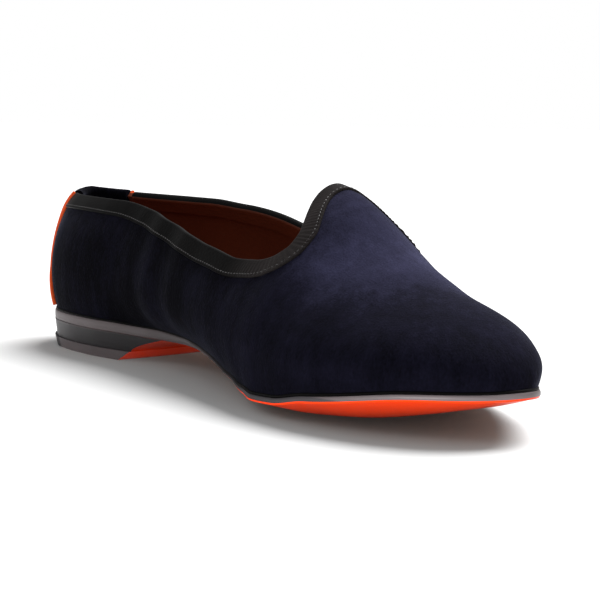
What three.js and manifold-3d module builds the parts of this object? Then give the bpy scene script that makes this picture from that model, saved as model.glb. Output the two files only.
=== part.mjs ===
// Velvet slipper loafer, the left shoe of a men's EU 42.
// Millimetres, +Z up, toe towards +X, outer side of the foot towards +Y, sole on z = 0.
// Inner is the big-toe side of the shoe, outer is the little-toe side.

import * as THREE from 'three';
import { mergeVertices } from 'three/addons/utils/BufferGeometryUtils.js';
import Module from 'manifold-3d';

// Driving dimensions
const soleLength = 295;
const ballWidth = 91;
const heelHeight = 15.5;
const toeSpring = 14.5;
const edgeRise = 6;
const soleThickness = 4;
const soleSetback = 1.2;
const instepHeight = 70.7;
const heelBulge = 4;
const toeBulge = 3.5;
const upperWall = 2.2;
const insoleThickness = 3;
const topPieceThickness = 4.2;
const rubberLength = 32;
const heelLength = 77;
const heelSweep = 27;
const breastSlant = 7;
const heelTaper = 0.8;
const bindingWidth = 7.2;
const bindingThickness = 0.9;
const panelThickness = 1.1;
const panelLining = 9;
const panelRise = 1.2;
const panelClearance = 0.36;
const pipingDiameter = 2;
const nailDiameter = 2.2;
const nailDepth = 1;
const nailRecess = 0.15;
const clearance = 0.3;

// Sole outline: half widths either side of the line from heel to toe tip, as shares of ballWidth
const outlineTable = [
  { at: 0.00, inner: 0.000, outer: 0.000 },
  { at: 0.02, inner: 0.176, outer: 0.166 },
  { at: 0.05, inner: 0.268, outer: 0.254 },
  { at: 0.10, inner: 0.332, outer: 0.318 },
  { at: 0.15, inner: 0.347, outer: 0.345 },
  { at: 0.20, inner: 0.338, outer: 0.357 },
  { at: 0.25, inner: 0.306, outer: 0.362 },
  { at: 0.30, inner: 0.262, outer: 0.361 },
  { at: 0.35, inner: 0.229, outer: 0.367 },
  { at: 0.40, inner: 0.223, outer: 0.382 },
  { at: 0.45, inner: 0.245, outer: 0.411 },
  { at: 0.50, inner: 0.286, outer: 0.449 },
  { at: 0.55, inner: 0.327, outer: 0.487 },
  { at: 0.60, inner: 0.377, outer: 0.513 },
  { at: 0.65, inner: 0.434, outer: 0.527 },
  { at: 0.70, inner: 0.476, outer: 0.523 },
  { at: 0.75, inner: 0.484, outer: 0.500 },
  { at: 0.80, inner: 0.471, outer: 0.457 },
  { at: 0.85, inner: 0.434, outer: 0.397 },
  { at: 0.90, inner: 0.372, outer: 0.323 },
  { at: 0.95, inner: 0.272, outer: 0.212 },
  { at: 0.98, inner: 0.175, outer: 0.132 },
  { at: 1.00, inner: 0.000, outer: 0.000 },
];

// Underside of the sole: seat is a share of the heel seat's height over the outsole,
// spring a share of toeSpring, the rolls shares of edgeRise, the edges shares of soleThickness
const undersideTable = [
  { at: 0.00, seat: 1.00, spring: 0.00, innerRoll: 0.00, outerRoll: 0.00, innerEdge: 1.00, outerEdge: 1.00 },
  { at: 0.24, seat: 1.00, spring: 0.00, innerRoll: 0.00, outerRoll: 0.00, innerEdge: 1.00, outerEdge: 1.00 },
  { at: 0.31, seat: 0.88, spring: 0.00, innerRoll: 0.15, outerRoll: -0.03, innerEdge: 1.00, outerEdge: 1.00 },
  { at: 0.39, seat: 0.80, spring: 0.00, innerRoll: 0.34, outerRoll: -0.30, innerEdge: 0.75, outerEdge: 0.97 },
  { at: 0.45, seat: 0.74, spring: 0.00, innerRoll: 0.48, outerRoll: -0.48, innerEdge: 0.42, outerEdge: 0.94 },
  { at: 0.51, seat: 0.61, spring: 0.00, innerRoll: 0.55, outerRoll: -0.55, innerEdge: 0.28, outerEdge: 0.88 },
  { at: 0.57, seat: 0.37, spring: 0.00, innerRoll: 0.59, outerRoll: -0.34, innerEdge: 0.26, outerEdge: 0.80 },
  { at: 0.62, seat: 0.13, spring: 0.00, innerRoll: 0.85, outerRoll: 0.06, innerEdge: 0.30, outerEdge: 0.75 },
  { at: 0.66, seat: 0.00, spring: 0.00, innerRoll: 0.86, outerRoll: 0.28, innerEdge: 0.48, outerEdge: 0.71 },
  { at: 0.69, seat: 0.00, spring: 0.00, innerRoll: 0.70, outerRoll: 0.31, innerEdge: 0.58, outerEdge: 0.68 },
  { at: 0.74, seat: 0.00, spring: 0.00, innerRoll: 0.83, outerRoll: 0.42, innerEdge: 0.60, outerEdge: 0.65 },
  { at: 0.80, seat: 0.00, spring: 0.09, innerRoll: 1.14, outerRoll: 0.62, innerEdge: 0.60, outerEdge: 0.62 },
  { at: 0.90, seat: 0.00, spring: 0.46, innerRoll: 0.95, outerRoll: 0.58, innerEdge: 0.60, outerEdge: 0.62 },
  { at: 1.00, seat: 0.00, spring: 1.00, innerRoll: 0.00, outerRoll: 0.00, innerEdge: 0.62, outerEdge: 0.62 },
];

// Sections of the upper: crown is the ridge over the sole's edge as a share of instepHeight,
// widest the height of the widest place as a share of the crown, and ridge how far the ridge
// lies to the outer side as a share of ballWidth
const sectionTable = [
  { at: 0.00, crown: 0.795, widest: 0.30, ridge: 0.000 },
  { at: 0.10, crown: 0.803, widest: 0.30, ridge: 0.000 },
  { at: 0.20, crown: 0.822, widest: 0.30, ridge: 0.000 },
  { at: 0.26, crown: 0.846, widest: 0.29, ridge: 0.010 },
  { at: 0.32, crown: 0.874, widest: 0.28, ridge: 0.025 },
  { at: 0.38, crown: 0.907, widest: 0.27, ridge: 0.040 },
  { at: 0.44, crown: 0.945, widest: 0.27, ridge: 0.050 },
  { at: 0.50, crown: 0.985, widest: 0.26, ridge: 0.050 },
  { at: 0.56, crown: 1.010, widest: 0.25, ridge: 0.055 },
  { at: 0.61, crown: 1.000, widest: 0.24, ridge: 0.055 },
  { at: 0.66, crown: 0.975, widest: 0.24, ridge: 0.050 },
  { at: 0.69, crown: 0.925, widest: 0.24, ridge: 0.042 },
  { at: 0.72, crown: 0.830, widest: 0.24, ridge: 0.033 },
  { at: 0.75, crown: 0.722, widest: 0.24, ridge: 0.025 },
  { at: 0.79, crown: 0.605, widest: 0.25, ridge: 0.015 },
  { at: 0.84, crown: 0.495, widest: 0.26, ridge: 0.008 },
  { at: 0.90, crown: 0.388, widest: 0.30, ridge: 0.000 },
  { at: 0.95, crown: 0.280, widest: 0.34, ridge: 0.000 },
  { at: 0.98, crown: 0.180, widest: 0.38, ridge: 0.000 },
  { at: 1.00, crown: 0.000, widest: 0.40, ridge: 0.000 },
];

// Walls of the upper beside its widest place: swell is how far the wall stands out past its
// foot there as a share of the half width, and pinch how much it narrows towards the ridge
const wallTable = [
  { at: 0.00, innerSwell: 0.04, outerSwell: 0.04, innerPinch: 0.00, outerPinch: 0.00 },
  { at: 0.10, innerSwell: 0.05, outerSwell: 0.05, innerPinch: 0.00, outerPinch: 0.00 },
  { at: 0.20, innerSwell: 0.07, outerSwell: 0.07, innerPinch: 0.00, outerPinch: 0.00 },
  { at: 0.26, innerSwell: 0.15, outerSwell: 0.11, innerPinch: 0.03, outerPinch: 0.03 },
  { at: 0.32, innerSwell: 0.38, outerSwell: 0.17, innerPinch: 0.06, outerPinch: 0.08 },
  { at: 0.38, innerSwell: 0.60, outerSwell: 0.20, innerPinch: 0.10, outerPinch: 0.15 },
  { at: 0.44, innerSwell: 0.56, outerSwell: 0.14, innerPinch: 0.16, outerPinch: 0.22 },
  { at: 0.50, innerSwell: 0.36, outerSwell: 0.08, innerPinch: 0.28, outerPinch: 0.38 },
  { at: 0.56, innerSwell: 0.25, outerSwell: 0.04, innerPinch: 0.45, outerPinch: 0.53 },
  { at: 0.61, innerSwell: 0.14, outerSwell: 0.02, innerPinch: 0.56, outerPinch: 0.60 },
  { at: 0.66, innerSwell: 0.05, outerSwell: 0.01, innerPinch: 0.54, outerPinch: 0.56 },
  { at: 0.69, innerSwell: 0.02, outerSwell: 0.01, innerPinch: 0.48, outerPinch: 0.52 },
  { at: 0.72, innerSwell: 0.01, outerSwell: 0.01, innerPinch: 0.42, outerPinch: 0.46 },
  { at: 0.75, innerSwell: 0.01, outerSwell: 0.01, innerPinch: 0.34, outerPinch: 0.38 },
  { at: 0.79, innerSwell: 0.01, outerSwell: 0.01, innerPinch: 0.26, outerPinch: 0.30 },
  { at: 0.84, innerSwell: 0.01, outerSwell: 0.01, innerPinch: 0.19, outerPinch: 0.23 },
  { at: 0.90, innerSwell: 0.02, outerSwell: 0.02, innerPinch: 0.12, outerPinch: 0.15 },
  { at: 0.95, innerSwell: 0.03, outerSwell: 0.03, innerPinch: 0.06, outerPinch: 0.08 },
  { at: 0.98, innerSwell: 0.05, outerSwell: 0.05, innerPinch: 0.00, outerPinch: 0.00 },
  { at: 1.00, innerSwell: 0.05, outerSwell: 0.05, innerPinch: 0.00, outerPinch: 0.00 },
];

// Top edge of the upper from the tip of the tongue to the back: foot is where its wall line
// starts on the sole and at where it ends, as shares of soleLength, and inner and outer how
// far up the section it ends, from 0 at the widest place to 1 at the ridge
const edgeTable = [
  { foot: 0.8200, at: 0.6320, inner: 1.000, outer: 1.000 },
  { foot: 0.8190, at: 0.6315, inner: 0.890, outer: 0.890 },
  { foot: 0.8170, at: 0.6325, inner: 0.795, outer: 0.795 },
  { foot: 0.8130, at: 0.6375, inner: 0.705, outer: 0.705 },
  { foot: 0.8060, at: 0.6470, inner: 0.628, outer: 0.628 },
  { foot: 0.7930, at: 0.6590, inner: 0.560, outer: 0.560 },
  { foot: 0.7700, at: 0.6690, inner: 0.500, outer: 0.502 },
  { foot: 0.7300, at: 0.6705, inner: 0.448, outer: 0.452 },
  { foot: 0.6800, at: 0.6635, inner: 0.395, outer: 0.402 },
  { foot: 0.6300, at: 0.6450, inner: 0.347, outer: 0.356 },
  { foot: 0.5800, at: 0.6130, inner: 0.313, outer: 0.325 },
  { foot: 0.5270, at: 0.5650, inner: 0.295, outer: 0.310 },
  { foot: 0.4700, at: 0.5060, inner: 0.307, outer: 0.322 },
  { foot: 0.4100, at: 0.4400, inner: 0.355, outer: 0.378 },
  { foot: 0.3450, at: 0.3650, inner: 0.432, outer: 0.470 },
  { foot: 0.2720, at: 0.2800, inner: 0.518, outer: 0.526 },
  { foot: 0.2000, at: 0.2000, inner: 0.572, outer: 0.574 },
  { foot: 0.1200, at: 0.1200, inner: 0.602, outer: 0.602 },
  { foot: 0.0675, at: 0.0675, inner: 0.616, outer: 0.616 },
  { foot: 0.0300, at: 0.0300, inner: 0.630, outer: 0.630 },
  { foot: 0.0075, at: 0.0075, inner: 0.640, outer: 0.640 },
  { foot: 0.0000, at: 0.0000, inner: 0.648, outer: 0.648 },
];

// Back of the heel seen from the side: up is a share of the wall's height at the back and
// out a share of heelBulge
const backTable = [
  { at: 0.00, out: 0.10 },
  { at: 0.16, out: 0.72 },
  { at: 0.36, out: 1.00 },
  { at: 0.62, out: 0.85 },
  { at: 0.85, out: 0.50 },
  { at: 1.00, out: 0.25 },
];

// Side edge of the back panel: up is a share of the wall's height and reach a share of soleLength
const panelTable = [
  { at: 0.00, reach: 0.050 },
  { at: 0.40, reach: 0.041 },
  { at: 0.80, reach: 0.031 },
  { at: 1.00, reach: 0.046 },
];

// Nails of the front heel piece: along as a share of the way from the rubber piece to the
// heel's front, aside as a share of the half width there
const nailTable = [
  { along: 0.126, aside: -0.84 },
  { along: 0.473, aside: -0.80 },
  { along: 0.785, aside: -0.74 },
  { along: 0.112, aside: 0.74 },
  { along: 0.690, aside: 0.74 },
];

// Mesh counts
const wallRows = 8;
const vampColumns = 12;
const edgeSteps = 2;

// A curve through one named column of a table that never overshoots between its rows
function curve(table, key, name) {
  const x = table.map((row) => row[key]);
  const y = table.map((row) => row[name]);
  const chord = x.slice(1).map((value, i) => (y[i + 1] - y[i]) / (value - x[i]));
  const slope = x.map((_, i) => {
    const before = chord[i - 1] ?? chord[i];
    const after = chord[i] ?? chord[i - 1];
    return before * after <= 0 ? 0 : (2 * before * after) / (before + after);
  });
  return (at) => {
    const p = THREE.MathUtils.clamp(at, Math.min(x[0], x.at(-1)), Math.max(x[0], x.at(-1)));
    const rising = x.at(-1) > x[0];
    let i = x.findIndex((value) => (rising ? value >= p : value <= p)) - 1;
    i = THREE.MathUtils.clamp(i, 0, chord.length - 1);
    const width = x[i + 1] - x[i];
    const t = (p - x[i]) / width;
    const bend0 = slope[i] * width;
    const bend1 = slope[i + 1] * width;
    const rise = y[i + 1] - y[i];
    return y[i] + t * (bend0 + t * (3 * rise - 2 * bend0 - bend1 + t * (bend0 + bend1 - 2 * rise)));
  };
}

// The same through the squares of a column, which makes a round end where it falls to nothing
function roundCurve(table, key, name) {
  const squares = table.map((row) => ({ [key]: row[key], [name]: row[name] ** 2 }));
  const square = curve(squares, key, name);
  return (at) => Math.sqrt(Math.max(square(at), 0));
}

const outline = {
  inner: roundCurve(outlineTable, 'at', 'inner'),
  outer: roundCurve(outlineTable, 'at', 'outer'),
};
const underside = {};
for (const name of ['seat', 'spring', 'innerRoll', 'outerRoll', 'innerEdge', 'outerEdge']) {
  underside[name] = curve(undersideTable, 'at', name);
}
const section = {
  crown: roundCurve(sectionTable, 'at', 'crown'),
  widest: curve(sectionTable, 'at', 'widest'),
  ridge: curve(sectionTable, 'at', 'ridge'),
};
for (const name of ['innerSwell', 'outerSwell', 'innerPinch', 'outerPinch']) {
  section[name] = curve(wallTable, 'at', name);
}
const backOut = curve(backTable, 'at', 'out');

// Sole: side is -1 for inner and +1 for outer
const sideName = (side) => (side < 0 ? 'inner' : 'outer');
const soleHalf = (side, s) => ballWidth * outline[sideName(side)](s);

// How much of the edge's rise a place has: the middle third of the sole is flat across, and
// the very tip of the toe is all edge
const flatShare = 0.35;
const tipShare = 0.03;

function roll(s, across) {
  const tip = Math.max(1 - (1 - s) / tipShare, 0) ** 2;
  return THREE.MathUtils.lerp(Math.max((Math.abs(across) - flatShare) / (1 - flatShare), 0) ** 2, 1, tip);
}

function undersideHeight(s, across) {
  const middle = (heelHeight - soleThickness) * underside.seat(s) + toeSpring * underside.spring(s);
  const rise = edgeRise * underside[`${sideName(across)}Roll`](s);
  return middle + rise * roll(s, across);
}

function topsideHeight(s, across) {
  const edge = underside[`${sideName(across)}Edge`](s);
  return undersideHeight(s, across) + soleThickness * (1 + (edge - 1) * roll(s, across));
}

// Surface of the upper: a place on one side, s along the sole and up the section from -1 at
// the sole, through 0 at the widest place, to 1 at the ridge
const pinchPower = 1.5;
const backFade = 0.22;
const toeFade = 0.1;

function rawPoint(side, s, up) {
  const name = sideName(side);
  const half = soleHalf(side, s);
  const foot = half * Math.max(1 - soleSetback / (ballWidth / 2), 0);
  const wide = half * (1 + section[`${name}Swell`](s));
  const base = topsideHeight(s, side) + clearance;
  const level = (topsideHeight(s, -1) + topsideHeight(s, 1)) / 2 + clearance;
  const crown = level + instepHeight * section.crown(s);
  const widest = base + (crown - base) * section.widest(s);
  const bottomTurn = wide > 0 ? Math.acos(Math.min(foot / wide, 1)) : 0;
  const turn = up < 0 ? up * bottomTurn : up * Math.PI / 2;
  const sine = Math.sin(turn);
  let y = wide * Math.cos(turn);
  let z = widest;
  if (up < 0) {
    z += bottomTurn > 0 ? (widest - base) * sine / Math.sin(bottomTurn) : (widest - base) * up;
  } else {
    y *= 1 - section[`${name}Pinch`](s) * sine ** pinchPower;
    z += (crown - widest) * sine;
  }
  const share = (z - level) / (instepHeight * section.crown(0));
  const back = Math.max(1 - s / backFade, 0) ** 2;
  const front = Math.max(1 - (1 - s) / toeFade, 0);
  const x = THREE.MathUtils.lerp(soleSetback, soleLength - soleSetback, s)
    - heelBulge * backOut(share / backShare) * back
    + toeBulge * front * Math.sin(Math.PI * Math.min(share / backShare, 1));
  const ridge = ballWidth * section.ridge(s) * Math.max(sine, 0) ** 2;
  return new THREE.Vector3(x, side * y + ridge, z);
}

// Height of the back's top edge as a share of the section's crown there
const backTurn = edgeTable.at(-1).inner * Math.PI / 2;
const backWidest = sectionTable[0].widest;
const backShare = backWidest + (1 - backWidest) * Math.sin(backTurn);

// The surface goes on past its back line, its toe and its ridge onto the other side, so that
// its normal can be measured everywhere
const probe = 2e-3;

function angledPoint(side, angle, up) {
  let other = side;
  let turn = angle;
  let height = up;
  if (turn < 0 || turn > Math.PI) other = -other;
  if (turn < 0) turn = -turn;
  if (turn > Math.PI) turn = 2 * Math.PI - turn;
  if (height > 1) {
    other = -other;
    height = 2 - height;
  }
  return rawPoint(other, (1 - Math.cos(turn)) / 2, height);
}

const toeLimit = Math.PI - 0.03;

function surfaceSlopes(side, angle, up) {
  const turn = Math.min(angle, toeLimit);
  const height = Math.max(up, -1 + probe);
  const along = angledPoint(side, turn + probe, height).sub(angledPoint(side, turn - probe, height));
  const upward = angledPoint(side, turn, height + probe).sub(angledPoint(side, turn, height - probe));
  return { along: along.divideScalar(2 * probe), upward: upward.divideScalar(2 * probe) };
}

function surfaceNormal(side, angle, up) {
  if (angle >= Math.PI) return new THREE.Vector3(1, 0, 0);
  const { along, upward } = surfaceSlopes(side, angle, up);
  return along.cross(upward).multiplyScalar(-side).normalize();
}

function surfacePoint({ side, angle, up }, out = 0) {
  return angledPoint(side, angle, up).addScaledVector(surfaceNormal(side, angle, up), out);
}

const placeAt = (side, s, up) => ({ side, angle: Math.acos(1 - 2 * Math.min(s, 1)), up });
const alongOf = (place) => (1 - Math.cos(place.angle)) / 2;

// The place reached by walking over the surface from another, in one direction
const walkSteps = 3;

function walk(place, direction, distance) {
  let { angle, up } = place;
  for (let i = 0; i < walkSteps; i += 1) {
    const { along, upward } = surfaceSlopes(place.side, angle, up);
    const crossed = along.dot(upward);
    const scale = along.lengthSq() * upward.lengthSq() - crossed ** 2;
    const wantAlong = direction.dot(along) * distance / walkSteps;
    const wantUp = direction.dot(upward) * distance / walkSteps;
    angle += (upward.lengthSq() * wantAlong - crossed * wantUp) / scale;
    up += (along.lengthSq() * wantUp - crossed * wantAlong) / scale;
  }
  return { side: place.side, angle, up };
}

// Curves along the top edge, counted in rows of edgeTable
const edgeRows = edgeTable.map((row, i) => ({ ...row, row: i }));
const edgeCurve = Object.fromEntries(
  ['foot', 'at', 'inner', 'outer'].map((name) => [name, curve(edgeRows, 'row', name)]),
);
const lastRow = edgeRows.length - 1;

// A place on the top edge: row 0 is the tip of the tongue and lastRow the middle of the back,
// and past either one the edge goes on along the other side
function edgePlace(side, row) {
  const turned = row < 0 || row > lastRow;
  const inside = row < 0 ? -row : lastRow - Math.abs(lastRow - row);
  const other = turned ? -side : side;
  const name = sideName(other);
  return placeAt(other, edgeCurve.at(inside), edgeCurve[name](inside));
}

// Frame of the top edge: down runs over the surface, square to the edge
function edgeFrame(side, row) {
  const place = edgePlace(side, row);
  const step = 0.05;
  const ahead = surfacePoint(edgePlace(side, row + step));
  const tangent = ahead.sub(surfacePoint(edgePlace(side, row - step))).normalize();
  const normal = surfaceNormal(place.side, place.angle, place.up);
  const down = tangent.clone().cross(normal).multiplyScalar(side).normalize();
  return { place, normal, down };
}

// The place under the binding's lower edge
function bandPlace(side, row) {
  const { place, down } = edgeFrame(side, row);
  return walk(place, down, bindingWidth);
}

// Wall lines of the upper run from the sole to the vamp's ridge and then to the binding's lower
// edge: t is 0 to 1 along the ridge from the toe, and then 1 more for each row of edgeTable
const leanPower = 4;

function wallPlace(side, t, v) {
  const share = Math.min(t, 1) ** 2;
  const row = Math.max(t - 1, 0);
  const band = bandPlace(side, row);
  const foot = t < 1 ? 1 - (1 - edgeTable[0].foot) * share : edgeCurve.foot(row);
  const at = t < 1 ? 1 - (1 - alongOf(band)) * share : alongOf(band);
  const top = t < 1 ? 1 : band.up;
  return placeAt(side, THREE.MathUtils.lerp(foot, at, v ** leanPower), THREE.MathUtils.lerp(-1, top, v));
}

function signedVolume(position, index) {
  let volume = 0;
  for (let i = 0; i < index.length; i += 3) {
    const [a, b, c] = index.slice(i, i + 3).map((k) => new THREE.Vector3().fromBufferAttribute(position, k));
    volume += a.dot(b.cross(c)) / 6;
  }
  return volume;
}

// A closed solid from shared corners, its faces pointing out: triangles that have shrunk to
// nothing are dropped
function solid(triangles) {
  const positions = new Float32Array(triangles.flat().flatMap((corner) => corner.toArray()));
  const loose = new THREE.BufferGeometry();
  loose.setAttribute('position', new THREE.BufferAttribute(positions, 3));
  const merged = mergeVertices(loose, 2e-3);
  const index = [...merged.index.array];
  const kept = [];
  for (let i = 0; i < index.length; i += 3) {
    const [a, b, c] = index.slice(i, i + 3);
    if (a !== b && b !== c && c !== a) kept.push(a, b, c);
  }
  if (signedVolume(merged.attributes.position, kept) < 0) kept.reverse();
  merged.setIndex(kept);
  merged.computeVertexNormals();
  return merged;
}

function quad(list, a, b, c, d) {
  list.push([a, b, c], [a, c, d]);
}

// Triangles of a grid of points, rows by columns, facing one way or the other
function gridFaces(list, rows, flip = false) {
  for (let i = 0; i + 1 < rows.length; i += 1) {
    for (let j = 0; j + 1 < rows[i].length; j += 1) {
      const corners = [rows[i][j], rows[i + 1][j], rows[i + 1][j + 1], rows[i][j + 1]];
      quad(list, ...(flip ? corners.reverse() : corners));
    }
  }
}

// A closed ring of closed sections, or a run of them with its two ends capped
function loft(rings, closed = false) {
  const faces = [];
  const rows = closed ? [...rings, rings[0]] : rings;
  gridFaces(faces, rows.map((ring) => [...ring, ring[0]]));
  if (!closed) {
    const fan = (ring, flip) => {
      const half = Math.floor(ring.length / 2);
      const strip = [ring.slice(0, half), ring.slice(half).reverse()];
      gridFaces(faces, strip, flip);
    };
    fan(rings[0], true);
    fan(rings.at(-1), false);
  }
  return solid(faces);
}

// A slab between two surfaces: point gives a place from layer (0 below, 1 above), along
// (0 at its back, 1 at its front) and across (-1 inner edge, 1 outer edge)
function slab(point, alongCount, acrossCount, layerCount) {
  const faces = [];
  const along = [...Array(alongCount + 1).keys()].map((i) => i / alongCount);
  const across = [...Array(acrossCount + 1).keys()].map((j) => (2 * j) / acrossCount - 1);
  const surface = (layer) => along.map((a) => across.map((v) => point(layer, a, v)));
  gridFaces(faces, surface(0), true);
  gridFaces(faces, surface(1));
  const rim = [
    ...along.map((a) => [a, -1]),
    ...across.slice(1).map((v) => [1, v]),
    ...along.slice(0, -1).reverse().map((a) => [a, 1]),
    ...across.slice(0, -1).reverse().map((v) => [0, v]),
  ];
  const layers = [...Array(layerCount + 1).keys()].map((k) => k / layerCount);
  gridFaces(faces, layers.map((layer) => rim.map(([a, v]) => point(layer, a, v))), true);
  return solid(faces);
}

const soleSide = (v) => (v < 0 ? -1 : 1);
const roundAlong = (a) => (1 - Math.cos(Math.PI * a)) / 2;

// Outsole: leather, with its toe spring, rolled edges and heel seat
function outsole() {
  return slab((layer, a, v) => {
    const s = roundAlong(a);
    const half = soleHalf(soleSide(v), s);
    const z = layer === 0 ? undersideHeight(s, v) : topsideHeight(s, v);
    return new THREE.Vector3(s * soleLength, v * half, z);
  }, 38, 10, 1);
}

// Foot line of the upper in plan, moved inwards
function footPlan(side, angle, inset) {
  const place = angledPoint(side, angle, -1);
  const ahead = angledPoint(side, angle + probe, -1).sub(angledPoint(side, angle - probe, -1));
  ahead.setZ(0).normalize();
  return new THREE.Vector2(place.x + side * ahead.y * inset, place.y - side * ahead.x * inset);
}

// Insole: lies on the outsole inside the foot of the wall
function insole() {
  const inset = upperWall + clearance;
  return slab((layer, a, v) => {
    const angle = Math.PI * a;
    const edges = [-1, 1].map((side) => footPlan(side, angle, inset));
    const plan = edges[0].lerp(edges[1], (v + 1) / 2);
    const s = plan.x / soleLength;
    const across = plan.y / soleHalf(soleSide(plan.y), s);
    const z = topsideHeight(s, across) + clearance + layer * insoleThickness;
    return new THREE.Vector3(plan.x, plan.y, z);
  }, 30, 8, 1);
}

// Front line of the heel at a place across it: it runs further forward on the inner side
function breastLine(v) {
  return heelLength - breastSlant * (v + 1) / 2 * Math.abs(v + 1) / 2;
}

const rubberSlant = 2;
const rubberLine = (v) => rubberLength + rubberSlant * v;

function heelPoint(x, v, z, taper) {
  const s = x / soleLength;
  const half = soleHalf(soleSide(v), s) - taper * Math.min(1, soleHalf(soleSide(v), s) / (ballWidth / 4));
  return new THREE.Vector3(x + taper * Math.max(1 - s / backFade, 0), v * half, z);
}

// Heel lift: its front sweeps forward towards the sole
const sweepPower = 1.6;

function heelLift() {
  const floor = topPieceThickness + clearance;
  return slab((layer, a, v) => {
    const sweep = THREE.MathUtils.lerp(floor / heelHeight, 1, layer ** sweepPower);
    const front = breastLine(v) + heelSweep * sweep;
    const x = a ** 2 * front;
    const ceiling = undersideHeight(x / soleLength, v) - clearance;
    return heelPoint(x, v, THREE.MathUtils.lerp(floor, ceiling, layer), heelTaper * (1 - layer));
  }, 12, 6, 4);
}

// Rubber rear top piece, the back third of the heel's tread
function heelRubber() {
  return slab((layer, a, v) => {
    const x = a ** 2 * rubberLine(v);
    return heelPoint(x, v, layer * topPieceThickness, heelTaper);
  }, 8, 6, 1);
}

// Leather front top piece, bored for its nails
function heelLeather() {
  return slab((layer, a, v) => {
    const back = rubberLine(v) + clearance;
    const front = breastLine(v) + heelSweep * topPieceThickness / heelHeight * layer;
    return heelPoint(THREE.MathUtils.lerp(back, front, a), v, layer * topPieceThickness, heelTaper);
  }, 5, 6, 1);
}

// Upper: one hollow wall, open at the collar and underneath
const vampStations = [...Array(vampColumns).keys()].map((i) => i / vampColumns);
const edgeStations = [...Array(lastRow * edgeSteps + 1).keys()].map((i) => i / edgeSteps);

function upper() {
  const faces = [];
  const rows = [...Array(wallRows + 1).keys()].map((j) => j / wallRows);
  const stations = [...vampStations, ...edgeStations.map((row) => 1 + row)];
  for (const side of [-1, 1]) {
    const walls = [0, -upperWall].map((out) => {
      const wall = stations.map((t) => rows.map((v) => surfacePoint(wallPlace(side, t, v), out)));
      const rim = edgeStations.map((row) => surfacePoint(edgePlace(side, row), out));
      const band = rim.map((point, i) => [wall[vampStations.length + i].at(-1), point]);
      return { wall, rim, band, foot: wall.map((line) => line[0]) };
    });
    walls.forEach(({ wall, band }, i) => {
      gridFaces(faces, wall, (side > 0) === (i === 0));
      gridFaces(faces, band, (side > 0) === (i === 0));
    });
    gridFaces(faces, walls.map(({ foot }) => foot), side > 0);
    gridFaces(faces, walls.map(({ rim }) => rim), side < 0);
  }
  return solid(faces);
}

// Section of a strip folded over the top edge: it reaches down outside and inside
function foldedRing(side, row, { reachOut, reachIn, gap, thickness, lift }) {
  const { place, normal, down } = edgeFrame(side, row);
  const over = (out, rise) => surfacePoint(place).addScaledVector(normal, out).addScaledVector(down, -rise);
  const below = (reach, out) => surfacePoint(walk(place, down, reach), out);
  const far = gap + thickness;
  return [
    below(reachOut, far),
    over(far, 0),
    over(0, far + lift),
    over(-upperWall, far + lift),
    over(-upperWall - far, 0),
    below(reachIn, -upperWall - far),
    below(reachIn, -upperWall - gap),
    over(-upperWall - gap, 0),
    over(-upperWall, gap),
    over(0, gap),
    over(gap, 0),
    below(reachOut, gap),
  ];
}

// The row of the top edge that stands at s, near the back
function rowAt(s) {
  let low = lastRow - 6;
  let high = lastRow;
  for (let i = 0; i < 40; i += 1) {
    const middle = (low + high) / 2;
    if (edgeCurve.at(middle) > s) low = middle;
    else high = middle;
  }
  return (low + high) / 2;
}

// Black binding round the top edge, from one end of the back panel to the other
const bindingFold = {
  reachOut: bindingWidth - clearance,
  reachIn: bindingWidth,
  gap: clearance,
  thickness: bindingThickness,
  lift: 0,
};

function binding() {
  const end = rowAt(panelTable.at(-1).reach + (pipingDiameter + 3 * clearance) / soleLength);
  const rows = [];
  for (let row = 0; row < end - 0.25; row += 1 / edgeSteps) rows.push(row);
  rows.push(end);
  const ring = (side) => (row) => foldedRing(side, row, bindingFold);
  const inner = rows.slice(1).map(ring(-1)).reverse();
  const outer = rows.map(ring(1));
  return loft([...inner, ...outer]);
}

// Back panel: an overlay round the heel, folded over the top edge
const panelReach = curve(panelTable, 'at', 'reach');
const panelFoot = 0.03;

function panelPlace(side, v, share) {
  const s = panelReach(v) * share ** 2;
  const top = edgeCurve[sideName(side)](rowAt(s));
  return placeAt(side, s, THREE.MathUtils.lerp(-1, top, THREE.MathUtils.lerp(panelFoot, 1, v)));
}

const panelFold = {
  reachOut: bindingWidth,
  reachIn: panelLining,
  gap: panelClearance,
  thickness: panelThickness,
  lift: panelRise,
};

function backPanel() {
  const count = 7;
  const levels = [0, 0.14, 0.28, 0.42, 0.56, 0.68, 0.8, 0.9, 1];
  const rings = [];
  for (let i = -count; i <= count; i += 1) {
    const side = i < 0 ? -1 : 1;
    const share = Math.abs(i) / count;
    const row = rowAt(panelReach(1) * share ** 2);
    const fold = foldedRing(side, row, panelFold).slice(1, 11);
    const lower = levels.slice(0, -1).map((v) => panelPlace(side, v, share));
    const outside = lower.map((place) => surfacePoint(place, panelClearance + panelThickness));
    const inside = lower.reverse().map((place) => surfacePoint(place, panelClearance));
    rings.push([...outside, ...fold, ...inside]);
  }
  return loft(rings);
}

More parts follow.
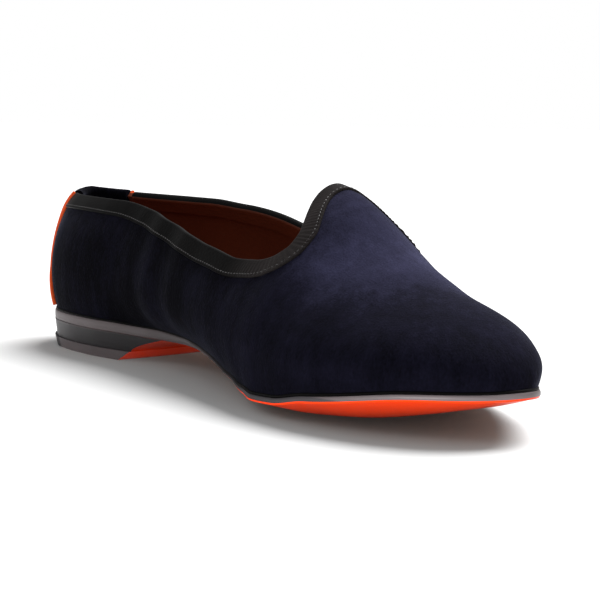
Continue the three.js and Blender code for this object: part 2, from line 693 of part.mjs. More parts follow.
// Piping along the panel's side edge
function piping(side) {
  const radius = pipingDiameter / 2;
  const sides = 8;
  const levels = [0.02, 0.13, 0.25, 0.4, 0.55, 0.68, 0.76, 0.8, 0.84, 0.92, 1];
  const at = (v) => surfacePoint(panelPlace(side, THREE.MathUtils.clamp(v, 0, 1), 1));
  const path = levels.map((v) => {
    const place = panelPlace(side, v, 1);
    const normal = surfaceNormal(place.side, place.angle, place.up);
    const forward = normal.clone().cross(at(v + 0.01).sub(at(v - 0.01))).multiplyScalar(side).normalize();
    return { edge: at(v), normal, forward };
  });
  const rings = path.map(({ edge, normal, forward }) => {
    const centre = edge.clone();
    centre.addScaledVector(normal, clearance + radius).addScaledVector(forward, clearance + radius);
    return [...Array(sides).keys()].map((k) => {
      const turn = (side * 2 * Math.PI * k) / sides;
      return centre.clone()
        .addScaledVector(normal, radius * Math.cos(turn))
        .addScaledVector(forward, radius * Math.sin(turn));
    });
  });
  return loft(rings);
}

// Nail: a flush disc in a bored hole of the front top piece
const nailRadius = nailDiameter / 2;

function nailPlace({ along, aside }) {
  const x = THREE.MathUtils.lerp(rubberLine(aside), breastLine(aside), along);
  return new THREE.Vector3(x, aside * soleHalf(soleSide(aside), x / soleLength), nailRecess + nailDepth / 2);
}

function nailGeometry(radius, depth) {
  const geometry = new THREE.CylinderGeometry(radius, radius, depth, 12);
  return geometry.rotateX(Math.PI / 2);
}

// Boolean cuts
const wasm = await Module();
wasm.setup();

function manifoldOf(geometry) {
  const bare = geometry.clone();
  bare.deleteAttribute('normal');
  bare.deleteAttribute('uv');
  const merged = mergeVertices(bare, 1e-4);
  return new wasm.Manifold(new wasm.Mesh({
    numProp: 3,
    vertProperties: new Float32Array(merged.attributes.position.array),
    triVerts: new Uint32Array(merged.index.array),
  }));
}

function geometryOf(manifold) {
  const mesh = manifold.getMesh();
  const geometry = new THREE.BufferGeometry();
  geometry.setAttribute('position', new THREE.BufferAttribute(mesh.vertProperties, 3));
  geometry.setIndex([...mesh.triVerts]);
  geometry.computeVertexNormals();
  return geometry;
}

function boredHeelLeather() {
  let piece = manifoldOf(heelLeather());
  for (const row of nailTable) {
    const hole = nailGeometry(nailRadius + clearance, 2 * (nailDepth + nailRecess + clearance));
    const place = nailPlace(row);
    hole.translate(place.x, place.y, 0);
    piece = piece.subtract(manifoldOf(hole));
  }
  return geometryOf(piece);
}

// Materials
const velvet = new THREE.MeshStandardMaterial({ color: 0x1c2040, roughness: 0.95, metalness: 0 });
const blackLeather = new THREE.MeshStandardMaterial({ color: 0x141414, roughness: 0.45, metalness: 0 });
const orangeLeather = new THREE.MeshStandardMaterial({ color: 0xff5a14, roughness: 0.3, metalness: 0 });
const pipingLeather = new THREE.MeshStandardMaterial({ color: 0xff6a28, roughness: 0.5, metalness: 0 });
const greyEdge = new THREE.MeshStandardMaterial({ color: 0x5c6064, roughness: 0.5, metalness: 0 });
const rubber = new THREE.MeshStandardMaterial({ color: 0x2c2c30, roughness: 0.7, metalness: 0 });
const insoleLeather = new THREE.MeshStandardMaterial({ color: 0xa8562a, roughness: 0.6, metalness: 0 });
const brass = new THREE.MeshStandardMaterial({ color: 0xc8a868, roughness: 0.35, metalness: 1 });

const shoe = new THREE.Group();

function add(name, geometry, material) {
  const mesh = new THREE.Mesh(geometry, material);
  mesh.name = name;
  shoe.add(mesh);
  return mesh;
}

add('outsole', outsole(), orangeLeather);
add('heel_lift', heelLift(), greyEdge);
add('heel_rubber', heelRubber(), rubber);
add('heel_leather', boredHeelLeather(), orangeLeather);
nailTable.forEach((row, i) => {
  add(`heel_nail_${i + 1}`, nailGeometry(nailRadius, nailDepth), brass).position.copy(nailPlace(row));
});
add('upper', upper(), velvet);
add('insole', insole(), insoleLeather);
add('topline_binding', binding(), blackLeather);
add('back_panel', backPanel(), velvet);
add('piping_inner', piping(-1), pipingLeather);
add('piping_outer', piping(1), pipingLeather);

// The origin is under the middle of the shoe's box, on the floor
shoe.updateMatrixWorld(true);
const box = new THREE.Box3().setFromObject(shoe, true);
const middle = box.getCenter(new THREE.Vector3());
shoe.position.set(-middle.x, -middle.y, -box.min.z);

export default shoe;
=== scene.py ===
# %% [markdown]
# # A velvet slipper loafer
#
# The shoe is a left slipper loafer of a men's EU 42. Its frame is the solid model, which says where
# each piece is and how big it is. This lesson gives the pieces their fine shape and their finish:
# velvet with a brushed pile, folded black leather, an orange leather sole and a grey waxed edge.
#
# Sizes are in millimetres while a shape is worked out, because a shoemaker thinks in them, and
# turned into metres when its mesh is made.

import math

import bmesh
import bpy
import numpy as np
from mathutils import Matrix, Vector


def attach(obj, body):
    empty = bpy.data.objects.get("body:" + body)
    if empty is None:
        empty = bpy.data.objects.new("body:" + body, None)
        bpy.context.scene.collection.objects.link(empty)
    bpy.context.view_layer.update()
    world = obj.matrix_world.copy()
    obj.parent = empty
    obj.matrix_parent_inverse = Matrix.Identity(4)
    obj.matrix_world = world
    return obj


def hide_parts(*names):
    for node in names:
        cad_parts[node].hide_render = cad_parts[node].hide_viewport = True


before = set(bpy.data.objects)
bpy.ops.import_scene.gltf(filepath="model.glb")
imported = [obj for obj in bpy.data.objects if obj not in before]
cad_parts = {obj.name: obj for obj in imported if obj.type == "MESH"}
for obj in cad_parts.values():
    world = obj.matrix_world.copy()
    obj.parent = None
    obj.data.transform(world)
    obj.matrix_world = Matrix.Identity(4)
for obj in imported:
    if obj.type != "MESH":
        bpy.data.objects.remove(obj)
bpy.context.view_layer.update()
scene = bpy.context.scene
scene.view_settings.view_transform = "Standard"
print("pieces in the frame:", sorted(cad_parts))

# %% [markdown]
# ## Camera
#
# The camera stands low and in front of the big-toe side, a hand's breadth over the floor. Its place
# comes from the shoe itself: the heel, the ball and the topline only line up from one spot. A long
# lens from that spot keeps the toe from growing too large.

# %% Camera
CAMERA_PLACE = (0.51329, -0.33750, 0.10060)
CAMERA_TARGET = (-0.05974, 0.05668, 0.02154)
CAMERA_ROLL = 0.95
CAMERA_LENS = 96

camera = bpy.data.objects.new("camera", bpy.data.cameras.new("camera"))
scene.collection.objects.link(camera)
camera.data.lens = CAMERA_LENS
camera.data.clip_end = 50
view_line = Vector(CAMERA_TARGET) - Vector(CAMERA_PLACE)
turn = view_line.to_track_quat("-Z", "Y").to_matrix().to_4x4()
roll_turn = Matrix.Rotation(math.radians(CAMERA_ROLL), 4, "Z")
camera.matrix_world = Matrix.Translation(CAMERA_PLACE) @ turn @ roll_turn
scene.camera = camera
print("camera to shoe, m:", round(view_line.length, 3))

# %% [markdown]
# ## Sizes
#
# A last, the form that a shoe is built on, is a free shape, yet a few tables describe it: the sole's
# outline, the height of its underside, and the sections of the upper along it. Each column holds
# shares of a named size, so the whole shoe changes when one size does.

# %% Sizes
SOLE_LENGTH = 295.0
BALL_WIDTH = 91.0
HEEL_HEIGHT = 15.5
TOE_SPRING = 14.5
EDGE_RISE = 6.0
SOLE_THICKNESS = 4.0
SOLE_SETBACK = 1.2
INSTEP_HEIGHT = 70.7
HEEL_BULGE = 4.0
TOE_BULGE = 3.5
UPPER_WALL = 2.2
INSOLE_THICKNESS = 3.0
TOP_PIECE = 4.2
RUBBER_LENGTH = 32.0
HEEL_LENGTH = 77.0
HEEL_SWEEP = 27.0
BREAST_SLANT = 7.0
HEEL_TAPER = 0.8
BINDING_WIDTH = 7.2
BINDING_THICKNESS = 0.9
PANEL_THICKNESS = 1.1
PANEL_LINING = 9.0
PANEL_RISE = 1.2
PIPING_RADIUS = 1.0
CLEARANCE = 0.3
SHOE_OFFSET = np.array([-145.409, -1.991, 0.0])

# Half widths of the sole, heel to toe: at, inner, outer
OUTLINE = np.array([
    (0.00, 0.000, 0.000), (0.02, 0.176, 0.166), (0.05, 0.268, 0.254), (0.10, 0.332, 0.318),
    (0.15, 0.347, 0.345), (0.20, 0.338, 0.357), (0.25, 0.306, 0.362), (0.30, 0.262, 0.361),
    (0.35, 0.229, 0.367), (0.40, 0.223, 0.382), (0.45, 0.245, 0.411), (0.50, 0.286, 0.449),
    (0.55, 0.327, 0.487), (0.60, 0.377, 0.513), (0.65, 0.434, 0.527), (0.70, 0.476, 0.523),
    (0.75, 0.484, 0.500), (0.80, 0.471, 0.457), (0.85, 0.434, 0.397), (0.90, 0.372, 0.323),
    (0.95, 0.272, 0.212), (0.98, 0.175, 0.132), (1.00, 0.000, 0.000),
])
# Underside: at, heel seat, toe spring, inner roll, outer roll, inner edge, outer edge
UNDERSIDE = np.array([
    (0.00, 1.00, 0.00, 0.00, 0.00, 1.00, 1.00), (0.24, 1.00, 0.00, 0.00, 0.00, 1.00, 1.00),
    (0.31, 0.88, 0.00, 0.15, -0.03, 1.00, 1.00), (0.39, 0.80, 0.00, 0.34, -0.30, 0.75, 0.97),
    (0.45, 0.74, 0.00, 0.48, -0.48, 0.42, 0.94), (0.51, 0.61, 0.00, 0.55, -0.55, 0.28, 0.88),
    (0.57, 0.37, 0.00, 0.59, -0.34, 0.26, 0.80), (0.62, 0.13, 0.00, 0.85, 0.06, 0.30, 0.75),
    (0.66, 0.00, 0.00, 0.86, 0.28, 0.48, 0.71), (0.69, 0.00, 0.00, 0.70, 0.31, 0.58, 0.68),
    (0.74, 0.00, 0.00, 0.83, 0.42, 0.60, 0.65), (0.80, 0.00, 0.09, 1.14, 0.62, 0.60, 0.62),
    (0.90, 0.00, 0.46, 0.95, 0.58, 0.60, 0.62), (1.00, 0.00, 1.00, 0.00, 0.00, 0.62, 0.62),
])
# Sections: at, crown, widest, inner swell, outer swell, inner pinch, outer pinch, ridge
SECTIONS = np.array([
    (0.00, 0.795, 0.30, 0.04, 0.04, 0.00, 0.00, 0.000),
    (0.10, 0.803, 0.30, 0.05, 0.05, 0.00, 0.00, 0.000),
    (0.20, 0.822, 0.30, 0.07, 0.07, 0.00, 0.00, 0.000),
    (0.26, 0.846, 0.29, 0.15, 0.11, 0.03, 0.03, 0.010),
    (0.32, 0.874, 0.28, 0.38, 0.17, 0.06, 0.08, 0.025),
    (0.38, 0.907, 0.27, 0.60, 0.20, 0.10, 0.15, 0.040),
    (0.44, 0.945, 0.27, 0.56, 0.14, 0.16, 0.22, 0.050),
    (0.50, 0.985, 0.26, 0.36, 0.08, 0.28, 0.38, 0.050),
    (0.56, 1.010, 0.25, 0.25, 0.04, 0.45, 0.53, 0.055),
    (0.61, 1.000, 0.24, 0.14, 0.02, 0.56, 0.60, 0.055),
    (0.66, 0.975, 0.24, 0.05, 0.01, 0.54, 0.56, 0.050),
    (0.69, 0.925, 0.24, 0.02, 0.01, 0.48, 0.52, 0.042),
    (0.72, 0.830, 0.24, 0.01, 0.01, 0.42, 0.46, 0.033),
    (0.75, 0.722, 0.24, 0.01, 0.01, 0.34, 0.38, 0.025),
    (0.79, 0.605, 0.25, 0.01, 0.01, 0.26, 0.30, 0.015),
    (0.84, 0.495, 0.26, 0.01, 0.01, 0.19, 0.23, 0.008),
    (0.90, 0.388, 0.30, 0.02, 0.02, 0.12, 0.15, 0.000),
    (0.95, 0.280, 0.34, 0.03, 0.03, 0.06, 0.08, 0.000),
    (0.98, 0.180, 0.38, 0.05, 0.05, 0.00, 0.00, 0.000),
    (1.00, 0.000, 0.40, 0.05, 0.05, 0.00, 0.00, 0.000),
])
# Top edge, tongue to back: foot, at, inner, outer
TOP_EDGE = np.array([
    (0.8200, 0.6320, 1.000, 1.000), (0.8190, 0.6315, 0.890, 0.890), (0.8170, 0.6325, 0.795, 0.795),
    (0.8130, 0.6375, 0.705, 0.705), (0.8060, 0.6470, 0.628, 0.628), (0.7930, 0.6590, 0.560, 0.560),
    (0.7700, 0.6690, 0.500, 0.502), (0.7300, 0.6705, 0.448, 0.452), (0.6800, 0.6635, 0.395, 0.402),
    (0.6300, 0.6450, 0.347, 0.356), (0.5800, 0.6130, 0.313, 0.325), (0.5270, 0.5650, 0.295, 0.310),
    (0.4700, 0.5060, 0.307, 0.322), (0.4100, 0.4400, 0.355, 0.378), (0.3450, 0.3650, 0.432, 0.470),
    (0.2720, 0.2800, 0.518, 0.526), (0.2000, 0.2000, 0.572, 0.574), (0.1200, 0.1200, 0.602, 0.602),
    (0.0675, 0.0675, 0.616, 0.616), (0.0300, 0.0300, 0.630, 0.630), (0.0075, 0.0075, 0.640, 0.640),
    (0.0000, 0.0000, 0.648, 0.648),
])
LAST_ROW = len(TOP_EDGE) - 1
HEEL_BACK = np.array([(0.00, 0.10), (0.16, 0.72), (0.36, 1.00), (0.62, 0.85), (0.85, 0.50), (1.00, 0.25)])
PANEL_SIDE = np.array([(0.00, 0.050), (0.40, 0.041), (0.80, 0.031), (1.00, 0.046)])
print("sole length and ball width, mm:", SOLE_LENGTH, BALL_WIDTH)

# %% [markdown]
# ## Curves through the tables
#
# Straight lines between rows would show as dents in the velvet. A spline could swing past a row and
# make a bulge that the last doesn't have. A cubic whose slopes are held back between its neighbours
# does neither, so it is the one used here. Where a width falls to nothing, as at the toe's tip, the
# same curve runs through the squares, which gives a round end.


# %% Smooth curves
def smooth_curve(xs, ys):
    steps = np.diff(xs)
    chords = np.diff(ys) / steps
    before = np.concatenate([chords[:1], chords])
    after = np.concatenate([chords, chords[-1:]])
    same_way = before * after > 0
    total = np.where(same_way, before + after, 1.0)
    slopes = np.where(same_way, 2 * before * after / total, 0.0)

    def value(at):
        at = np.clip(np.asarray(at, float), xs[0], xs[-1])
        i = np.clip(np.searchsorted(xs, at, side="left") - 1, 0, len(steps) - 1)
        width = steps[i]
        t = (at - xs[i]) / width
        bend0, bend1 = slopes[i] * width, slopes[i + 1] * width
        rise = ys[i + 1] - ys[i]
        return ys[i] + t * (bend0 + t * (3 * rise - 2 * bend0 - bend1 + t * (bend0 + bend1 - 2 * rise)))

    return value


def round_curve(xs, ys):
    square = smooth_curve(xs, ys**2)
    return lambda at: np.sqrt(np.maximum(square(at), 0))


outline = {-1: round_curve(OUTLINE[:, 0], OUTLINE[:, 1]), 1: round_curve(OUTLINE[:, 0], OUTLINE[:, 2])}
seat, spring, inner_roll, outer_roll, inner_edge, outer_edge = (
    smooth_curve(UNDERSIDE[:, 0], UNDERSIDE[:, i]) for i in range(1, 7)
)
crown = round_curve(SECTIONS[:, 0], SECTIONS[:, 1])
widest, inner_swell, outer_swell, inner_pinch, outer_pinch, ridge = (
    smooth_curve(SECTIONS[:, 0], SECTIONS[:, i]) for i in range(2, 8)
)
edge_rows = np.arange(LAST_ROW + 1.0)
edge_foot, edge_at, edge_inner, edge_outer = (smooth_curve(edge_rows, TOP_EDGE[:, i]) for i in range(4))
back_out = smooth_curve(HEEL_BACK[:, 0], HEEL_BACK[:, 1])
panel_reach = smooth_curve(PANEL_SIDE[:, 0], PANEL_SIDE[:, 1])
print("half width at the ball, mm:", [round(float(BALL_WIDTH * outline[k](0.7)), 1) for k in (-1, 1)])

# %% [markdown]
# ## The sole's surfaces
#
# A leather sole isn't a flat board. Its middle third lies flat on the floor, its edges roll up towards
# the feather line where the upper begins, its toe springs up, and its waist arches from the ball to
# the heel seat. Two height functions hold all of that, and every other piece stands on them.

# %% Heights of the sole
FLAT_SHARE = 0.35
TIP_SHARE = 0.03


def by_side(side, inner, outer):
    return np.where(np.asarray(side) < 0, inner, outer)


def sole_half(side, s):
    return BALL_WIDTH * by_side(side, outline[-1](s), outline[1](s))


def edge_roll(s, across):
    tip = np.maximum(1 - (1 - s) / TIP_SHARE, 0) ** 2
    rolled = np.maximum((np.abs(across) - FLAT_SHARE) / (1 - FLAT_SHARE), 0) ** 2
    return rolled + (1 - rolled) * tip


def underside_height(s, across):
    middle = (HEEL_HEIGHT - SOLE_THICKNESS) * seat(s) + TOE_SPRING * spring(s)
    rise = EDGE_RISE * by_side(across, inner_roll(s), outer_roll(s))
    return middle + rise * edge_roll(s, across)


def topside_height(s, across):
    thinned = 1 + (by_side(across, inner_edge(s), outer_edge(s)) - 1) * edge_roll(s, across)
    return underside_height(s, across) + SOLE_THICKNESS * thinned


print("seat of the heel over the floor, mm:", float(topside_height(0.1, 0.0)))

# %% [markdown]
# ## The surface of the last
#
# A place on the upper is given by its side, how far along the sole it is, and how far up its section:
# -1 at the sole, 0 at the widest place and 1 at the ridge over the instep. An angle stands for the
# place along the sole, so that points crowd towards the round heel and the round toe.

# %% Surface of the last
PINCH_POWER = 1.5
BACK_FADE = 0.22
TOE_FADE = 0.1
TOE_STOP = 0.03
PROBE = 2e-3
NOT_ZERO = 1e-9
QUARTER_TURN = math.pi / 2
BACK_SHARE = SECTIONS[0, 2] + (1 - SECTIONS[0, 2]) * math.sin(TOP_EDGE[-1, 2] * QUARTER_TURN)


def share_of(angle):
    return (1 - np.cos(angle)) / 2


def angle_of(s):
    return np.arccos(1 - 2 * np.clip(s, 0, 1))


def last_raw(side, s, up):
    """A place on one half of the last, in millimetres."""
    half = sole_half(side, s)
    foot = half * (1 - SOLE_SETBACK / (BALL_WIDTH / 2))
    wide = half * (1 + by_side(side, inner_swell(s), outer_swell(s)))
    base = topside_height(s, side) + CLEARANCE
    level = (topside_height(s, -1) + topside_height(s, 1)) / 2 + CLEARANCE
    top = level + INSTEP_HEIGHT * crown(s)
    middle = base + (top - base) * widest(s)
    bottom_turn = np.arccos(np.minimum(foot / np.maximum(wide, NOT_ZERO), 1))
    around = np.where(up < 0, up * bottom_turn, up * QUARTER_TURN)
    sine, cosine = np.sin(around), np.cos(around)
    low = middle + (middle - base) * sine / np.maximum(np.sin(bottom_turn), NOT_ZERO)
    high = middle + (top - middle) * sine
    z = np.where(up < 0, low, high)
    pinch = by_side(side, inner_pinch(s), outer_pinch(s)) * np.maximum(sine, 0) ** PINCH_POWER
    y = wide * cosine * (1 - pinch)
    share = (z - level) / (INSTEP_HEIGHT * SECTIONS[0, 1])
    back = np.maximum(1 - s / BACK_FADE, 0) ** 2
    front = np.maximum(1 - (1 - s) / TOE_FADE, 0)
    x = SOLE_SETBACK + (SOLE_LENGTH - 2 * SOLE_SETBACK) * s
    x = x - HEEL_BULGE * back_out(share / BACK_SHARE) * back
    x = x + TOE_BULGE * front * np.sin(math.pi * np.minimum(share / BACK_SHARE, 1))
    return np.stack([x, side * y + BALL_WIDTH * ridge(s) * np.maximum(sine, 0) ** 2, z], -1)


def last_at(side, angle, up):
    """The same, also past the back, the toe or the ridge, where the other half goes on."""
    past_end = (angle < 0) | (angle > math.pi)
    side = np.where(past_end, -side, side)
    angle = np.where(angle < 0, -angle, np.where(angle > math.pi, 2 * math.pi - angle, angle))
    side = np.where(up > 1, -side, side)
    up = np.where(up > 1, 2 - up, up)
    return last_raw(side, share_of(angle), up)


def last_slopes(side, angle, up):
    """How the place moves with the angle and with up; at the toe's tip itself it has no direction."""
    angle = np.minimum(angle, math.pi - TOE_STOP)
    up = np.maximum(up, -1 + PROBE)
    along = (last_at(side, angle + PROBE, up) - last_at(side, angle - PROBE, up)) / (2 * PROBE)
    upward = (last_at(side, angle, up + PROBE) - last_at(side, angle, up - PROBE)) / (2 * PROBE)
    return along, upward


def unit(vectors):
    return vectors / np.maximum(np.linalg.norm(vectors, axis=-1, keepdims=True), 1e-12)


def last_normal(side, angle, up):
    along, upward = last_slopes(side, angle, up)
    normal = unit(np.cross(along, upward) * -np.asarray(side, float)[..., None])
    return np.where((angle >= math.pi)[..., None], np.array([1.0, 0, 0]), normal)


def last_point(side, angle, up, out=0.0):
    """A place that stands out of the last by a length."""
    side, angle, up = (np.asarray(value, float) for value in np.broadcast_arrays(side, angle, up))
    return last_at(side, angle, up) + last_normal(side, angle, up) * np.asarray(out)[..., None]


def walk(side, angle, up, direction, distance, steps=4):
    """Goes over the surface from a place, in one direction, for a length in millimetres."""
    step = distance / steps
    for _ in range(steps):
        along, upward = last_slopes(side, angle, up)
        crossed = (along * upward).sum(-1)
        aa, uu = (along**2).sum(-1), (upward**2).sum(-1)
        scale = aa * uu - crossed**2
        want_along = (direction * along).sum(-1) * step
        want_up = (direction * upward).sum(-1) * step
        angle = angle + (uu * want_along - crossed * want_up) / scale
        up = up + (aa * want_up - crossed * want_along) / scale
    return angle, up


print("ridge at the tongue, mm:", np.round(last_point(1, angle_of(TOP_EDGE[0, 1]), 1.0), 1).tolist())

# %% [markdown]
# ## The top edge
#
# The collar's edge climbs from the quarters round the throat and up to the tongue's tip. The binding,
# its stitches and the wall itself all follow it, so its frame is worked out once: where the edge is,
# which way is out of the wall, and which way is down it.

# %% Frame of the top edge
ROW_PROBE = 0.05
BACK_ROWS = 6


def edge_place(side, row):
    """Side, angle and up of the edge at a row; past the tongue or the back the other side goes on."""
    turned = (row < 0) | (row > LAST_ROW)
    inside = np.where(row < 0, -row, LAST_ROW - np.abs(LAST_ROW - row))
    other = np.where(turned, -side, side)
    return other, angle_of(edge_at(inside)), by_side(other, edge_inner(inside), edge_outer(inside))


def edge_frame(side, row):
    place = edge_place(side, row)
    ahead = last_point(*edge_place(side, row + ROW_PROBE)) - last_point(*edge_place(side, row - ROW_PROBE))
    normal = last_normal(*place)
    return place, normal, side * unit(np.cross(unit(ahead), normal))


def row_at(s):
    """The row, of those at the back, whose edge is at a share of the sole's length."""
    rows = np.linspace(LAST_ROW - BACK_ROWS, LAST_ROW, 2001)
    return np.interp(s, edge_at(rows)[::-1], rows[::-1])


edge_length = {}
for side in (-1, 1):
    rows = np.linspace(0, LAST_ROW, 4001)
    line = last_point(*edge_place(side, rows))
    lengths = np.cumsum(np.linalg.norm(np.diff(line, axis=0), axis=1))
    edge_length[side] = (rows, np.concatenate([[0], lengths]))
print("length of the top edge's two sides, mm:", [round(float(edge_length[k][1][-1])) for k in (-1, 1)])

# %% [markdown]
# ## Meshes
#
# Nearly every piece of a shoe is a sheet bent over the last, so a helper that joins rows of points
# into faces makes them all. It merges doubles, turns the faces outwards and gives the piece its
# material. A piece keeps its place in its mesh, with its object at the origin.

# %% Meshes from rows of points
MERGE_WITHIN = 2e-6
NO_LENGTH = 1e-7


def in_metres(points):
    return (points + SHOE_OFFSET) / 1000


def closed(rings):
    """Repeats the first point of each ring at its end."""
    return np.concatenate([rings, rings[:, :1]], 1)


def add_piece(name, mesh):
    piece = bpy.data.objects.new(name, mesh)
    scene.collection.objects.link(piece)
    print(f"{name}: {len(mesh.polygons)} faces")
    return piece


def mesh_piece(name, grids, materials, sharp):
    """Makes one object from (points, material number) grids, joined where their points meet."""
    points, faces, numbers, start = [], [], [], 0
    for grid, number in grids:
        rows, cols = grid.shape[:2]
        i, j = np.meshgrid(np.arange(rows - 1), np.arange(cols - 1), indexing="ij")
        corner = start + i * cols + j
        quads = np.stack([corner, corner + cols, corner + cols + 1, corner + 1], -1).reshape(-1, 4)
        points.append(grid.reshape(-1, 3))
        faces.append(quads)
        numbers.append(np.full(len(quads), number))
        start += rows * cols
    mesh = bpy.data.meshes.new(name)
    mesh.from_pydata(in_metres(np.concatenate(points)).tolist(), [], np.concatenate(faces).tolist())
    mesh.polygons.foreach_set("material_index", np.concatenate(numbers).astype(np.int32))
    for material in materials:
        mesh.materials.append(material)
    work = bmesh.new()
    work.from_mesh(mesh)
    bmesh.ops.remove_doubles(work, verts=work.verts, dist=MERGE_WITHIN)
    bmesh.ops.dissolve_degenerate(work, edges=work.edges, dist=NO_LENGTH)
    bmesh.ops.recalc_face_normals(work, faces=work.faces)
    work.to_mesh(mesh)
    work.free()
    mesh.shade_smooth()
    mesh.set_sharp_from_angle(angle=math.radians(sharp))
    return add_piece(name, mesh)


def fit(piece, slot, *nodes):
    """Hides the parts of the frame that the piece replaces and lets it ride with the shoe."""
    if nodes:
        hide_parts(*nodes)
    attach(piece, "root")
    return piece


print("points closer than this are merged, m:", MERGE_WITHIN)

# %% [markdown]
# ## Finishes
#
# Each material is a small tree of noise. Helpers keep the trees short: one adds a node, sets what it
# is given and joins what it is handed, and the others are built on it. Constants that are the same
# all over a surface go straight on the shader's own sockets.

# %% Node helpers
SHARES_ALONG = 3.333
SHARES_ACROSS = 10.0
SHARES_UP = 12.0


def add_node(tree, kind, links=None, **settings):
    node = tree.nodes.new(kind)
    for key, value in settings.items():
        setattr(node, key, value)
    for socket, source in (links or {}).items():
        target = node.inputs[socket]
        if isinstance(source, bpy.types.NodeSocket):
            tree.links.new(source, target)
        else:
            target.default_value = source
    return node


def new_finish(name, colour, roughness, **shader_values):
    material = bpy.data.materials.new(name)
    material.use_nodes = True
    material.diffuse_color = (*colour, 1)
    shader = material.node_tree.nodes["Principled BSDF"]
    shader.inputs["Base Color"].default_value = (*colour, 1)
    shader.inputs["Roughness"].default_value = roughness
    for key, value in shader_values.items():
        shader.inputs[key.replace("_", " ")].default_value = value
    return material, material.node_tree, shader


def math_node(tree, operation, *values):
    return add_node(tree, "ShaderNodeMath", dict(enumerate(values)), operation=operation).outputs[0]


def object_place(tree):
    return add_node(tree, "ShaderNodeTexCoord").outputs["Object"]


def place_parts(tree):
    return add_node(tree, "ShaderNodeSeparateXYZ", {0: object_place(tree)}).outputs


def along_shoe(tree, parts):
    """0 at the back of the shoe and 1 at its toe."""
    return math_node(tree, "MULTIPLY_ADD", parts["X"], SHARES_ALONG, 0.5)


def noise(tree, where, scale, detail=2.0, stretch=None, roughness=0.5):
    if stretch:
        where = add_node(tree, "ShaderNodeMapping", {"Vector": where, "Scale": stretch}).outputs[0]
    links = {"Vector": where, "Scale": scale, "Detail": detail, "Roughness": roughness}
    return add_node(tree, "ShaderNodeTexNoise", links).outputs["Fac"]


def ramp(tree, factor, stops):
    """A colour ramp; one number as a stop's colour is a grey."""
    node = add_node(tree, "ShaderNodeValToRGB", {"Fac": factor})
    elements = node.color_ramp.elements
    while len(elements) < len(stops):
        elements.new(0.5)
    for element, (at, colour) in zip(elements, stops):
        element.position = at
        element.color = (*np.broadcast_to(colour, 3), 1)
    return node.outputs["Color"]


def multiply_colours(tree, one, other):
    node = add_node(tree, "ShaderNodeMix", {"Factor": 1.0}, data_type="RGBA", blend_type="MULTIPLY")
    tree.links.new(one, node.inputs[6])
    tree.links.new(other, node.inputs[7])
    return node.outputs[2]


def bump(tree, shader, height, distance, strength, below=None):
    links = {"Height": height, "Distance": distance, "Strength": strength}
    if below is not None:
        links["Normal"] = below
    node = add_node(tree, "ShaderNodeBump", links)
    tree.links.new(node.outputs[0], shader.inputs["Normal"])
    return node.outputs[0]


print("length that the share along the shoe runs over, m:", round(1 / SHARES_ALONG, 3))

# %% [markdown]
# ## Velvet
#
# Velvet is a dense short pile. Where the pile leans towards you it looks nearly black, and where it
# leans away it catches light. Here light and shade are painted into its colour: a painted highlight
# over the vamp, rising up the tongue and a little on the outer side, and painted shade at the toe's
# foot and on the quarters, so the tone follows the place along the shoe and the height. A large noise
# breaks the edge of that lit patch into clouds, a finer one gives brushed streaks, and the finest is
# the pile itself. The sheen of the fibres' tips is the shader's own.

# %% Velvet
TONGUE_FOOT = 0.045
TONGUE_LEAD = 2.6

velvet, tree, shader = new_finish(
    "velvet", (0.012, 0.014, 0.025), 0.95, Specular_IOR_Level=0.05,
    Sheen_Weight=0.11, Sheen_Roughness=0.26, Sheen_Tint=(0.55, 0.58, 0.85, 1))
where = object_place(tree)
parts = place_parts(tree)
tongue = math_node(tree, "MAXIMUM", math_node(tree, "ADD", parts["Z"], -TONGUE_FOOT), 0.0)
along = math_node(tree, "MULTIPLY_ADD", tongue, TONGUE_LEAD, along_shoe(tree, parts))
height = math_node(tree, "MULTIPLY", parts["Z"], SHARES_UP)
across = math_node(tree, "MULTIPLY_ADD", parts["Y"], SHARES_ACROSS, 0.5)
# Painted light and shade: the lit patch paints a highlight over the vamp, up the tongue and on the outer
# side, and leaves painted shade at the toe's foot and on the quarters.
lit_along = ramp(tree, along, [(0.55, 0.02), (0.69, 0.36), (0.77, 1.0), (1.0, 0.72)])
lit_height = ramp(tree, height, [(0.38, 0.15), (0.46, 0.30), (0.53, 0.62), (0.61, 1.0)])
outer = ramp(tree, across, [(0.55, 0.0), (0.85, 0.5)])
lit_patch = math_node(tree, "MAXIMUM", math_node(tree, "MULTIPLY", lit_along, lit_height), outer)
clouds = noise(tree, where, 24, 3.0, stretch=(1.0, 1.0, 0.8), roughness=0.55)
streaks = noise(tree, where, 260, 3.0, stretch=(1.0, 1.0, 0.35), roughness=0.6)
pile = noise(tree, where, 1500, stretch=(1.0, 1.0, 0.5))
mixed = math_node(tree, "MULTIPLY_ADD", clouds, 0.62, -0.31)
for layer, weight in ((lit_patch, 0.52), (streaks, 0.30), (pile, 0.26)):
    mixed = math_node(tree, "MULTIPLY_ADD", layer, weight, mixed)
tone = ramp(tree, mixed, [
    (0.24, (0.0012, 0.0011, 0.0025)), (0.50, (0.0076, 0.0072, 0.0165)),
    (0.78, (0.026, 0.0255, 0.054)), (1.0, (0.046, 0.046, 0.096)),
])
tree.links.new(tone, shader.inputs["Base Color"])
low = bump(tree, shader, streaks, 0.0006, 0.35)
bump(tree, shader, pile, 0.0004, 0.5, low)
print("velvet nodes:", len(tree.nodes))
